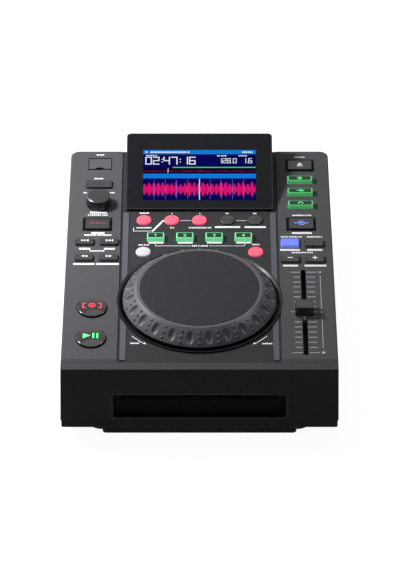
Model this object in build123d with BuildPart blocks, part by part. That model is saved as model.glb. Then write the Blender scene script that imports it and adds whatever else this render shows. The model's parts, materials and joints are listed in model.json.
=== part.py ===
"""Tabletop DJ disc player with a slot-loading drive, jog wheel, tilted screen and pitch fader.

Millimetres, +Z up, front towards -Y. The origin is on the ground, at the centre of the footprint.
The controls stand on the sloping panel, in its own coordinates: u to the right, v up the slope from
the jog wheel's axis, h out of the panel.
"""

import os
from math import cos, hypot, radians, sin, sqrt, tan

from build123d import *

# ---------------------------------------------------------------- driving dimensions
# casing
BODY_WIDTH = 220.0  # across the panel's edges
BODY_DEPTH = 289.0  # front face to rear face, at the seam
SIDE_DRAFT = 1.3  # degrees, all walls lean inwards
WALL = 3.0
GROUND_GAP = 9.0  # ground to the underside of the tray
SEAM_Z = 16.4  # where cover and tray meet
SEAM_GAP = 0.2
SEAM_INSET = 0.6  # the tray's band stands back from the cover
FRONT_TOP_Z = 66.0  # front face to bevel
BEVEL_RUN = 10.4
BEVEL_RISE = 4.0
PANEL_TILT = 3.5  # degrees
JOG_FROM_BEVEL = 74.8  # jog axis to the bevel's top edge, along the panel
REAR_CORNER_R = 9.0
FRONT_CORNER_R = 1.6
TOP_EDGE_R = 1.1
CENTRE_DROP = 1.0  # the middle of the panel lies lower than its sides
CENTRE_HALF = 65.5  # half width of the lower middle
CENTRE_FRONT_V = -80.0  # it runs out over the bevel

# places that the controls are measured from
JACK_PROUD = 8.5
FRONT_Y = -(BODY_DEPTH + JACK_PROUD) / 2
REAR_Y = FRONT_Y + BODY_DEPTH
MIDDLE_Y = (FRONT_Y + REAR_Y) / 2
BEVEL_TOP = (FRONT_Y + BEVEL_RUN, FRONT_TOP_Z + BEVEL_RISE)
TILT = radians(PANEL_TILT)
JOG_Y = BEVEL_TOP[0] + JOG_FROM_BEVEL * cos(TILT)
JOG_Z = BEVEL_TOP[1] + JOG_FROM_BEVEL * sin(TILT)
PANEL = Plane(origin=(0, JOG_Y, JOG_Z), x_dir=(1, 0, 0), z_dir=(0, -sin(TILT), cos(TILT)))
PANEL_BACK_V = (REAR_Y - JOG_Y) / cos(TILT)
SIDE_SPAN = BODY_WIDTH / 2 - CENTRE_HALF  # width of each raised side of the panel
SIDE_U = CENTRE_HALF + SIDE_SPAN / 2 - 3.15  # middle of the column of side keys
ROWS_V = 46.0  # rows of controls keep their shares of the panel's length behind this line
ROWS_LENGTH = PANEL_BACK_V - ROWS_V


def row(share):
    """Place of a row of controls, up the panel."""
    return ROWS_V + share * ROWS_LENGTH


# trim strips at the steps
TRIM_INNER = 58.8
TRIM_OUTER = 63.5
TRIM_FRONT_V = -75.6
TRIM_PROUD = 0.5
TRIM_SUNK = 0.6

# display
DISPLAY_WIDTH = 123.0
DISPLAY_LENGTH = 0.5141 * ROWS_LENGTH
DISPLAY_TILT = 14.8  # degrees more than the panel
DISPLAY_FRONT_V = row(0.4605)
DISPLAY_LIP = 1.5  # front edge of the bezel over the panel's sides
DISPLAY_CORNER_R = 3.4
DISPLAY_RIM = 0.9
WINDOW_THICK = 1.6
WINDOW_GAP = 0.1
DISPLAY_WALL = 2.2
LCD_WIDTH = 105.5
LCD_LENGTH = DISPLAY_LENGTH - 14.2
LCD_THICK = 3.5
LCD_GAP = 0.3
SCREEN_CENTRE = DISPLAY_LENGTH / 2 - 4.3  # up the bezel

# jog wheel
JOG_HOLE_R = 66.9
JOG_THROAT_R = 62.8  # foot of the surround's slope
JOG_THROAT_H = -2.2
SURROUND_PROUD = 0.5
SURROUND_LAND = 0.7
SURROUND_BULGE = 0.3
SURROUND_FOOT = (1.6, 2.5)
JOG_DISH_DEPTH = 7.0
JOG_DISH_WALL = 2.2
JOG_SKIRT_R = 62.1
JOG_SKIRT_BOTTOM = 0.2
JOG_RIM_R = 51.6
JOG_TOP = 12.6
JOG_PLATE_R = 48.3
JOG_PLATE_THICK = 2.0
JOG_WEB = 2.4
JOG_SKIRT_WALL = 3.4
DIMPLE_COUNT = 24
DIMPLE_LENGTH = 11.8
DIMPLE_WIDTH = 6.8
DIMPLE_DEPTH = 1.65
DIMPLE_TURN = 7.5  # degrees from the panel's u axis to the first dimple
BUMP_R = 1.25
BUMP_SUNK = 0.4
BUMP_SHARES = (0.2, 0.5, 0.8)
SKIRT_BAND = 1.2
SKIRT_BULGE = 0.5
RIM_EDGE = 0.9
PLATE_RECESS = 0.3
PLATE_GAP = 0.1
WEB_INNER_R = 16.0
SHAFT_R = 4.0
SHAFT_CLEARANCE = 0.05
SHAFT_SHOULDER_R = 6.4
HUB_FLANGE_R = 24.0
HUB_FLANGE_THICK = 2.6
BEARING_R = 7.0
BEARING_FLANGE_R = 9.5
BEARING_FLANGE_THICK = 1.2
BEARING_LENGTH = 12.0
BEARING_BOSS_R = 11.0
END_PLAY = 0.1

# buttons: running gap in the panel, flange that holds them in, stem down to the switch
BUTTON_GAP = 0.25
FLANGE_LIP = 1.0
FLANGE_THICK = 1.0
FLANGE_GAP = 0.1
KEY_TAPER = 12.0  # degrees
POCKET_KEY_TAPER = 7.0
KEY_CORNER_R = 1.4
LIT_CORNER_R = 0.8
ROUND_TAPER = 5.0
ROUND_DOME = 0.6  # rise of the domed top
ROUND_EDGE_R = 0.8
BIG_TAPER = 3.0
BIG_DOME = 1.3
BIG_EDGE_R = 0.8
CAP_EDGE_R = 0.4
STEM_R = 1.6
SWITCH_GAP = 0.05
TRAVEL = 0.5
BIG_TRAVEL = 0.8
BOARD_DROP = 10.5  # button boards' top under the panel
BOARD_THICK = 1.6
SWITCH_SIDE = 6.0
SWITCH_HEIGHT = 3.0

PAIR_HALF = 0.227 * SIDE_SPAN  # keys that stand side by side
KEY_WIDTH = 0.3416 * SIDE_SPAN
KEY_PROUD = 2.2
POCKET_KEY_PROUD = 1.5
LIT_PROUD = 3.5

# name: (u, v, width, length, proud)
KEYS = {
    "back": (-SIDE_U, row(0.6822), 22.0, 10.2, 1.8),
    "track_previous": (-SIDE_U - PAIR_HALF, row(0.1832), KEY_WIDTH, 8.8, KEY_PROUD),
    "track_next": (-SIDE_U + PAIR_HALF, row(0.1832), KEY_WIDTH, 8.8, KEY_PROUD),
    "search_back": (-SIDE_U - PAIR_HALF, row(0.0505), KEY_WIDTH, 8.8, KEY_PROUD),
    "search_forward": (-SIDE_U + PAIR_HALF, row(0.0505), KEY_WIDTH, 8.8, KEY_PROUD),
    "key_lock": (SIDE_U - PAIR_HALF, row(0.1731), KEY_WIDTH, 10.2, KEY_PROUD),
    "bpm_tap": (SIDE_U + PAIR_HALF, row(0.1731), KEY_WIDTH, 10.2, KEY_PROUD),
    "pitch_minus": (SIDE_U - PAIR_HALF, row(0.0379), KEY_WIDTH, 9.3, KEY_PROUD),
    "pitch_plus": (SIDE_U + PAIR_HALF, row(0.0379), KEY_WIDTH, 9.3, KEY_PROUD),
}
POCKET_KEYS = {
    "reverse": (-SIDE_U, row(0.3373), 20.4, 13.9, POCKET_KEY_PROUD),
    "jog_mode": (SIDE_U, row(0.3386), 20.6, 14.1, POCKET_KEY_PROUD),
    "eject": (SIDE_U + 0.5, row(0.8540), 20.6, 12.6, POCKET_KEY_PROUD),
}
POCKET_MARGIN = 2.3
POCKET_DEPTH = 1.3
POCKET_SHIFT = 0.6  # the pocket reaches further behind its key
SOURCE_KEYS = {
    "source_disc": (SIDE_U, row(0.7163), 21.2, 7.0, LIT_PROUD),
    "source_usb": (SIDE_U, row(0.6070), 21.2, 7.0, LIT_PROUD),
    "source_midi": (SIDE_U, row(0.4977), 21.2, 7.0, LIT_PROUD),
}
HOT_CUE_PITCH = 24.2
HOT_CUE_V = row(0.2268)
HOT_CUE_SIZE = (14.3, 7.9)
LIT_TAPER = 2.0
LOOP_PITCH = 23.1
LOOP_V = row(0.3802)
ROUND_R = 6.2
ROUND_PROUD = 1.9
SHIFT_U = 46.3
SHIFT_V = 63.2  # beside the wheel
BIG_R = 0.2652 * SIDE_SPAN
BIG_PROUD = 2.7
BIG_SUNK = 0.5
BIG_U = -SIDE_U - 2.0
CUE_V = -11.0
PLAY_V = -49.4
BIG_RING = 0.9  # bare gap of the bezel groove round the big buttons

# browse knob and its encoder
BROWSE_U = -SIDE_U
BROWSE_V = row(0.5129)
KNOB_R = 10.2
KNOB_TOP_R = 9.3
KNOB_HEIGHT = 8.9
KNOB_LIFT = 0.9
KNOB_EDGE_R = 0.9
KNOB_PRESS = 0.5
KNOB_GROOVES = 18
KNOB_GROOVE_R = 0.5
ROTOR_R = 5.0
STEM_FIT_R = 3.0
ENCODER_SIDE = 13.0
ENCODER_TOP = -4.2
ENCODER_HEIGHT = 7.5
ENCODER_FIT = 0.05
ROTOR_FLANGE_R = 5.8

# pitch fader
FADER_U = SIDE_U
FADER_V = -15.6
FADER_TRAVEL = 100.0
FADER_SLOT_WIDTH = 4.0
FADER_BLADE = (1.6, 6.0)
FADER_CARRIAGE = (7.6, 11.0, 5.0)
FADER_CHANNEL_WALL = 1.0
FADER_CHANNEL_DEPTH = 8.4
FADER_END_ROOM = 1.5
FADER_CAP = (15.2, 12.8)
FADER_CAP_HEIGHT = 8.0
FADER_CAP_LIFT = 0.6
FADER_CAP_DISH = 1.3
FADER_CAP_TAPER = 7.0

# USB door, well and socket
USB_U = -SIDE_U + 0.2
USB_V = row(0.8716)
DOOR_WIDTH = 18.6
DOOR_LENGTH = 15.4
DOOR_THICK = 1.6
DOOR_GAP = 0.7
DOOR_PIN_R = 0.5
DOOR_PIN_FIT = 0.06
DOOR_PIN_LENGTH = 1.8
DOOR_NOTCH_R = 6.0
DOOR_NOTCH_DEPTH = 3.0
WELL_WIDTH = 16.6
WELL_LENGTH = 13.2
WELL_DEPTH = 8.2
WELL_WALL = 1.8
SOCKET_OUTER = (14.5, 7.0)
SOCKET_INNER = (12.5, 5.1)
SOCKET_LENGTH = 14.0
SOCKET_TONGUE = (11.1, 1.8)

# drive and slot
SLOT_Z = 37.6
RECESS_Z = 30.6
RECESS_WIDTH = 138.8
RECESS_HEIGHT = 23.1
RECESS_R = 2.2
RECESS_SETBACK = 4.4
RECESS_TAPER = 8.0
BEZEL_GAP = 0.15
BEZEL_FLANGE = 2.6
BEZEL_THICK = 2.0
BEZEL_LIP = 0.4
BEZEL_SLEEVE_SETBACK = 0.6
BEZEL_SEAT = 0.2
SLOT_WIDTH = 128.0
SLOT_HEIGHT = 6.4
FELT_THICK = 0.9
FELT_DEPTH = 3.0
DRIVE_WIDTH = 146.0
DRIVE_LENGTH = BODY_DEPTH - 109.0  # the boards stand behind it
DRIVE_HEIGHT = 41.3
DRIVE_SHEET = 1.2
DRIVE_SETBACK = 11.0
DRIVE_MOUTH = (DRIVE_WIDTH - 16.0, 9.0)
DRIVE_BOTTOM_Z = 10.4
HUB_SETBACK = 76.0
HUB_R = 13.0
HUB_HEIGHT = 3.0
HUB_SHAFT_R = 1.5
MOTOR_R = 12.0
DISC_ROOM = 2.2  # half height that stays free round the disc
ROLLER_SETBACK = 9.5
ROLLER_R = 4.0
ROLLER_SHAFT_R = 1.5
PLAIN_FIT = 0.05
ROLLER_BRACKET_X = DRIVE_WIDTH / 2 - 7.0
ROLLER_LENGTH = 2 * ROLLER_BRACKET_X - 8.0
ROLLER_BRACKET_THICK = 1.6
ROLLER_BRACKET_DEPTH = 9.0

# bottom tray and feet
TRAY_FLOOR = 2.0
PLINTH_HALF = DRIVE_WIDTH / 2 + 4.8
PLINTH_DROP = 8.2
PLINTH_SETBACK = 2.0
PLINTH_CORNER_R = 3.0
PLINTH_EDGE = 0.6
FOOT_R = 13.0
FOOT_SETBACK = 22.5
FOOT_EDGE_R = 1.5
FOOT_GAP = 0.15

# rear panel
JACK_R = 4.15
JACK_COLLAR_R = 5.2
JACK_BORE_R = 1.6
JACK_BORE_DEPTH = 7.5
JACK_PITCH = 14.0
JACK_Z = 40.0
JACK_X = 58.0
JACK_COUNT = 3
JACK_PLATE = (44.0, 16.0)
JACK_PLATE_SEAT = 4.4
JACK_BLOCK = 12.0
PORT_X = 22.0
PORT_OUTER = 12.0
PORT_INNER = 8.4
PORT_TONGUE = (5.6, 3.2)
PORT_LENGTH = 16.0
REAR_FLANGE_SEAT = 0.14
MODULE_X = -56.0
MODULE_FACE = (52.0, 26.0)
MODULE_LIP = 2.0
INLET_X = -67.0
INLET_Z = 36.0
INLET_CAVITY = (17.6, 9.4)
INLET_DEPTH = 18.0
INLET_CAVITY_DEPTH = 12.0
INLET_FACE_THICK = 1.6
INLET_PIN_R = 1.2
INLET_PIN_PITCH = 8.6
ROCKER_X = -43.0
ROCKER_SIZE = (12.6, 18.6)
ROCKER_PIN_R = 1.0
ROCKER_SUNK = 2.4
ROCKER_TIP = 7.0  # degrees each way from level
ROCKER_DEPTH = 5.0

# electronics
PCB_THICK = 1.6
MAIN_BOARD = (BODY_WIDTH / 2 - 6.0, 76.0)
MAIN_BOARD_X = MAIN_BOARD[0] / 2 - 6.0
MAIN_BOARD_PARTS = ((-12, -10, 24, 24, 2.4), (-18, 16, 18, 10, 1.6), (24, -14, 12, 20, 1.6))
SUPPLY_BOARD = (BODY_WIDTH / 2 - 36.0, 70.0)
SUPPLY_BOARD_X = -21.0 - SUPPLY_BOARD[0] / 2
SUPPLY_PARTS = ((-16, -10, 26, 24, 20), (14, -16, 10, 34, 16), (16, 16, 14, 14, 14))
BUTTON_BOARD_MARGIN = 5.0
BOARD_Z = 17.0
BOARD_FROM_REAR = 46.0
SCREW_HEAD_R = 2.8
SCREW_R = 1.4
SCREW_LENGTH = 10.0
SCREW_SINK = 1.6
POST_R = 3.4
POST_FOOT_Z = 16.0
POST_X = BODY_WIDTH / 2 - 6.6
POST_VS = (-68.0, 28.0, PANEL_BACK_V - 8.3)
BOARD_POST_R = 2.2
STANDOFF_R = 4.0
STANDOFF_X = DRIVE_WIDTH / 2 - 13.0
STANDOFF_INSET = 30.0

# ---------------------------------------------------------------- derived places
DISPLAY_ANGLE = radians(PANEL_TILT + DISPLAY_TILT)
DISPLAY = Plane(
    origin=PANEL.from_local_coords((0, DISPLAY_FRONT_V, DISPLAY_LIP)),
    x_dir=(1, 0, 0),
    z_dir=(0, -sin(DISPLAY_ANGLE), cos(DISPLAY_ANGLE)),
)
FLANGE_TOP = -WALL - FLANGE_GAP
SWITCH_TOP = -BOARD_DROP + SWITCH_HEIGHT
DOOR_AXIS_V = USB_V + DOOR_LENGTH / 2 - DOOR_THICK / 2
DOOR_AXIS_H = -DOOR_THICK / 2
DRIVE_FRONT_Y = FRONT_Y + DRIVE_SETBACK
HUB_Y = DRIVE_FRONT_Y + HUB_SETBACK
ROLLER_Y = DRIVE_FRONT_Y + ROLLER_SETBACK
ROLLER_Z = SLOT_Z - DISC_ROOM - ROLLER_R
PLATE_SEAT = JOG_TOP - JOG_PLATE_THICK
JOG_SECTION = Plane(origin=PANEL.origin, x_dir=(1, 0, 0), z_dir=PANEL.y_dir * -1)
JOG_AXIS = Axis(PANEL.origin, PANEL.z_dir)
POSTS = [(side * POST_X, JOG_Y + v * cos(TILT)) for v in POST_VS for side in (-1, 1)]
FOOT_YS = (FRONT_Y + FOOT_SETBACK, REAR_Y - FOOT_SETBACK)
FLANGE_TOP_Z = RECESS_Z + RECESS_HEIGHT / 2 + BEZEL_FLANGE
WALL_BACK_Y = FRONT_Y + WALL + (FLANGE_TOP_Z - SEAM_Z) * tan(radians(SIDE_DRAFT))
BEZEL_FLANGE_Y = WALL_BACK_Y + BEZEL_SEAT
PLINTH_LENGTH = BODY_DEPTH - 2 * PLINTH_SETBACK - 4.0
FADER_CHANNEL_LENGTH = FADER_TRAVEL + FADER_CARRIAGE[1] + 2 * (FADER_END_ROOM + FADER_CHANNEL_WALL)
FADER_CHANNEL_WIDTH = FADER_CARRIAGE[0] + 2 * FADER_CHANNEL_WALL + 0.4

LOOP_STEPS = {"auto_loop": -2, "loop_in": -1, "loop_out": 0, "loop_half": 1, "loop_double": 2}
LOOP_BUTTONS = {name: (step * LOOP_PITCH, LOOP_V) for name, step in LOOP_STEPS.items()}
LOOP_BUTTONS["shift"] = (-SHIFT_U, SHIFT_V)
LOOP_BUTTONS["slip"] = (SHIFT_U, SHIFT_V)
HOT_CUES = {
    f"hot_cue_{number + 1}": ((number - 1.5) * HOT_CUE_PITCH, HOT_CUE_V, *HOT_CUE_SIZE, LIT_PROUD)
    for number in range(4)
}
BIG_BUTTONS = {"cue": (BIG_U, CUE_V), "play_pause": (BIG_U, PLAY_V)}
SIDE_KEYS = {**KEYS, **POCKET_KEYS, **SOURCE_KEYS}
BUTTON_PLACES = {**SIDE_KEYS, **HOT_CUES, **LOOP_BUTTONS, **BIG_BUTTONS}
BUTTON_BOARD_GROUPS = (
    ("reverse", "track_previous", "track_next", "search_back", "search_forward"),
    ("cue", "play_pause"),
    ("back",),
    (*SOURCE_KEYS, "eject", "jog_mode", "key_lock", "bpm_tap", "pitch_minus", "pitch_plus"),
    (*HOT_CUES, *LOOP_BUTTONS),
)

os.makedirs("parts", exist_ok=True)


def corner_of(name):
    """Radius of a rectangular key's corners."""
    return LIT_CORNER_R if name in SOURCE_KEYS or name in HOT_CUES else KEY_CORNER_R


def shape(width, length, corner, gap=0.0):
    """Outline of a key; a round button has no length."""
    if length is None:
        Circle(width + gap)
    else:
        RectangleRounded(width + 2 * gap, length + 2 * gap, corner + gap)


def save(builder, name):
    """Label a finished piece and write it as its own file."""
    builder.part.label = name
    export_step(builder.part, f"parts/{name}.step")


def casing_block(inset, floor_z, plan_inset):
    """The wedge's outer form above floor_z, moved inwards by the insets."""
    with BuildPart() as block:
        with BuildSketch(Plane.XY.offset(floor_z)) as plan:
            wider = 2 * (FRONT_TOP_Z - floor_z) * tan(radians(SIDE_DRAFT)) - 2 * plan_inset
            deeper = 2 * (SEAM_Z - floor_z) * tan(radians(SIDE_DRAFT)) - 2 * plan_inset
            with Locations((0, MIDDLE_Y)):
                Rectangle(BODY_WIDTH + wider, BODY_DEPTH + deeper)
            fillet(plan.vertices().group_by(Axis.Y)[-1], REAR_CORNER_R - plan_inset)
            fillet(plan.vertices().group_by(Axis.Y)[0], FRONT_CORNER_R)
        extrude(amount=120 - floor_z, taper=SIDE_DRAFT)
        with BuildSketch(Plane.YZ) as side:
            with BuildLine():
                Polyline(
                    (BEVEL_TOP[0] - 3 * BEVEL_RUN, BEVEL_TOP[1] - 3 * BEVEL_RISE),
                    BEVEL_TOP,
                    (BEVEL_TOP[0] + 340, BEVEL_TOP[1] + 340 * tan(TILT)),
                    (BEVEL_TOP[0] + 340, -20),
                    (BEVEL_TOP[0] - 3 * BEVEL_RUN, -20),
                    close=True,
                )
            make_face()
            if inset > 0:
                offset(amount=-inset, kind=Kind.INTERSECTION, mode=Mode.REPLACE)
        extrude(amount=BODY_WIDTH, both=True, mode=Mode.INTERSECT)
    return block


# ---------------------------------------------------------------- casing
outer_block = casing_block(0, SEAM_Z, 0)
inner_block = casing_block(WALL, SEAM_Z - 10, WALL)

with BuildPart() as top_cover:
    add(outer_block.part)
    panel_face = top_cover.faces().sort_by(Axis.Z)[-1]
    fillet(panel_face.edges(), TOP_EDGE_R)
    add(inner_block.part, mode=Mode.SUBTRACT)
    # the dish under the jog wheel, with the boss that holds its bearing
    with BuildSketch(PANEL.offset(-CENTRE_DROP - 0.5)):
        Circle(JOG_HOLE_R + JOG_DISH_WALL)
    extrude(amount=-(JOG_DISH_DEPTH + JOG_DISH_WALL - CENTRE_DROP - 0.5))
    with BuildSketch(PANEL.offset(-JOG_DISH_DEPTH)):
        Circle(BEARING_BOSS_R)
    extrude(amount=-BEARING_LENGTH)
    # the well of the USB socket
    with BuildSketch(PANEL.offset(-WALL / 2)):
        with Locations((USB_U, USB_V)):
            Rectangle(DOOR_WIDTH + 2 * WELL_WALL + 2 * DOOR_PIN_LENGTH, DOOR_LENGTH + 2 * WELL_WALL)
    extrude(amount=-(WELL_DEPTH + WELL_WALL - WALL / 2))
    # the lower middle of the panel
    with BuildSketch(PANEL):
        with Locations((0, (CENTRE_FRONT_V + PANEL_BACK_V + 20) / 2)):
            Rectangle(2 * CENTRE_HALF, PANEL_BACK_V + 20 - CENTRE_FRONT_V)
    extrude(amount=-CENTRE_DROP, mode=Mode.SUBTRACT)
    # grooves for the trim strips
    with BuildSketch(PANEL.offset(-CENTRE_DROP)):
        for side in (-1, 1):
            with Locations((side * (TRIM_INNER + TRIM_OUTER) / 2, (TRIM_FRONT_V + DISPLAY_FRONT_V) / 2 - 1)):
                Rectangle(TRIM_OUTER - TRIM_INNER, DISPLAY_FRONT_V - TRIM_FRONT_V)
    extrude(amount=-TRIM_SUNK, mode=Mode.SUBTRACT)
    # the jog wheel's hole and the seat of its bearing
    with BuildSketch(PANEL.offset(2)):
        Circle(JOG_HOLE_R)
    extrude(amount=-(2 + JOG_DISH_DEPTH), mode=Mode.SUBTRACT)
    with BuildSketch(PANEL.offset(2)):
        Circle(BEARING_R)
    extrude(amount=-60, mode=Mode.SUBTRACT)
    # pockets round the recessed keys
    for u, v, width, length, proud in POCKET_KEYS.values():
        with BuildSketch(PANEL.offset(-POCKET_DEPTH)) as pocket:
            with Locations((u, v + POCKET_SHIFT)):
                Rectangle(width + 2 * POCKET_MARGIN - 1.2, length + 2 * POCKET_MARGIN - 1.2)
        extrude(amount=POCKET_DEPTH + 0.3, taper=-24, mode=Mode.SUBTRACT)
    # holes for the rectangular keys
    with BuildSketch(PANEL.offset(2)):
        for name, (u, v, width, length, proud) in {**SIDE_KEYS, **HOT_CUES}.items():
            with Locations((u, v)):
                shape(width, length, corner_of(name), BUTTON_GAP)
        for u, v in LOOP_BUTTONS.values():
            with Locations((u, v)):
                Circle(ROUND_R + BUTTON_GAP)
        for u, v in BIG_BUTTONS.values():
            with Locations((u, v)):
                Circle(BIG_R + BUTTON_GAP)
        with Locations((BROWSE_U, BROWSE_V)):
            Circle(ROTOR_R + BUTTON_GAP)
        with Locations((FADER_U, FADER_V)):
            SlotOverall(FADER_TRAVEL + FADER_BLADE[1] + 2 * FADER_END_ROOM, FADER_SLOT_WIDTH, rotation=90)
    extrude(amount=-(2 + WALL + 1), mode=Mode.SUBTRACT)
    # shallow grooves round the big buttons
    with BuildSketch(PANEL.offset(0.5)):
        for u, v in BIG_BUTTONS.values():
            with Locations((u, v)):
                Circle(BIG_R + BUTTON_GAP + BIG_RING)
    extrude(amount=-1.0, mode=Mode.SUBTRACT)
    # USB door seat, well, and mouth for the socket
    with BuildSketch(PANEL.offset(2)):
        with Locations((USB_U, USB_V)):
            Rectangle(DOOR_WIDTH + 2 * DOOR_GAP, DOOR_LENGTH + 2 * DOOR_GAP)
    extrude(amount=-(2 + DOOR_THICK + DOOR_GAP), mode=Mode.SUBTRACT)
    with BuildSketch(PANEL.offset(2)):
        with Locations((USB_U, USB_V)):
            Rectangle(WELL_WIDTH, WELL_LENGTH)
    extrude(amount=-(2 + WELL_DEPTH), mode=Mode.SUBTRACT)
    with BuildSketch(PANEL.offset(2)):
        with Locations((USB_U, USB_V)):
            Rectangle(SOCKET_OUTER[0] + 0.2, SOCKET_OUTER[1] + 0.2)
    extrude(amount=-(2 + WELL_DEPTH + WELL_WALL + 1), mode=Mode.SUBTRACT)
    hinge_line = PANEL.from_local_coords((USB_U, DOOR_AXIS_V, DOOR_AXIS_H))
    with BuildSketch(Plane(origin=hinge_line, x_dir=(0, 1, 0), z_dir=(1, 0, 0))):
        Circle(DOOR_PIN_R + DOOR_PIN_FIT)
    extrude(amount=DOOR_WIDTH / 2 + DOOR_PIN_LENGTH + 0.2, both=True, mode=Mode.SUBTRACT)
    # way through for the screen's cable
    with BuildSketch(PANEL.offset(2)):
        with Locations((0, DISPLAY_FRONT_V + DISPLAY_LENGTH / 2)):
            Rectangle(60, 30)
    extrude(amount=-(2 + WALL + 1), mode=Mode.SUBTRACT)
    # room for the back of the screen
    with BuildSketch(DISPLAY):
        with Locations((0, SCREEN_CENTRE)):
            Rectangle(LCD_WIDTH + 2 * LCD_GAP, LCD_LENGTH + 2 * LCD_GAP)
    extrude(amount=-(WINDOW_THICK + LCD_THICK + LCD_GAP), mode=Mode.SUBTRACT)
    # front opening for the slot bezel
    with BuildSketch(Plane.XZ.offset(-FRONT_Y + 5)) as mouth:
        with Locations((0, RECESS_Z)):
            RectangleRounded(RECESS_WIDTH, RECESS_HEIGHT, RECESS_R)
    extrude(amount=-(5 + WALL + 3), mode=Mode.SUBTRACT)
    # rear openings for the mains module and the jacks
    with BuildSketch(Plane.XZ.offset(-REAR_Y - 2)):
        with Locations((MODULE_X, INLET_Z)):
            Rectangle(MODULE_FACE[0] - 2 * MODULE_LIP + 0.4, MODULE_FACE[1] - 2 * MODULE_LIP + 0.4)
        with Locations((JACK_X, JACK_Z)):
            Rectangle(JACK_PLATE[0] - 4, JACK_PLATE[1] - 4)
        with Locations((PORT_X, JACK_Z)):
            Rectangle(PORT_OUTER - 2, PORT_OUTER - 2)
    extrude(amount=WALL + 6, mode=Mode.SUBTRACT)
    # posts that take the case screws
    for x, y in POSTS:
        with BuildSketch(Plane.XY.offset(POST_FOOT_Z)):
            with Locations((x, y)):
                Circle(POST_R)
                Circle(SCREW_R, mode=Mode.SUBTRACT)
        extrude(amount=JOG_Z + (y - JOG_Y) * tan(TILT) - WALL / 2 - POST_FOOT_Z)
save(top_cover, "top_cover")

with BuildPart() as slot_bezel:
    # flange behind the front wall, sleeve through it, recessed face with the slot
    with BuildSketch(Plane.XZ.offset(-BEZEL_FLANGE_Y)):
        with Locations((0, RECESS_Z)):
            RectangleRounded(
                RECESS_WIDTH + 2 * BEZEL_FLANGE, RECESS_HEIGHT + 2 * BEZEL_FLANGE, RECESS_R + BEZEL_FLANGE
            )
    extrude(amount=-BEZEL_THICK)
    with BuildSketch(Plane.XZ.offset(-BEZEL_FLANGE_Y)):
        with Locations((0, RECESS_Z)):
            RectangleRounded(
                RECESS_WIDTH - 2 * BEZEL_GAP, RECESS_HEIGHT - 2 * BEZEL_GAP, RECESS_R - BEZEL_GAP
            )
    extrude(amount=BEZEL_FLANGE_Y - FRONT_Y - BEZEL_SLEEVE_SETBACK)
    recess_shrink = 2 * (BEZEL_GAP + BEZEL_LIP + RECESS_SETBACK * tan(radians(RECESS_TAPER)))
    with BuildSketch(Plane.XZ.offset(-(FRONT_Y + RECESS_SETBACK))):
        with Locations((0, RECESS_Z)):
            RectangleRounded(
                RECESS_WIDTH - recess_shrink, RECESS_HEIGHT - recess_shrink, RECESS_R - BEZEL_LIP
            )
    extrude(amount=RECESS_SETBACK, taper=-RECESS_TAPER, mode=Mode.SUBTRACT)
    with BuildSketch(Plane.XZ.offset(-FRONT_Y)):
        with Locations((0, SLOT_Z)):
            Rectangle(SLOT_WIDTH, SLOT_HEIGHT)
    extrude(amount=-20, mode=Mode.SUBTRACT)
save(slot_bezel, "slot_bezel")

with BuildPart() as slot_felt:
    felt_y = BEZEL_FLANGE_Y + BEZEL_THICK - FELT_DEPTH
    with BuildSketch(Plane.XZ.offset(-felt_y)):
        for side in (-1, 1):
            with Locations((0, SLOT_Z + side * (SLOT_HEIGHT - FELT_THICK) / 2)):
                Rectangle(SLOT_WIDTH - 4, FELT_THICK)
    extrude(amount=-FELT_DEPTH)
save(slot_felt, "slot_felt")

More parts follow.
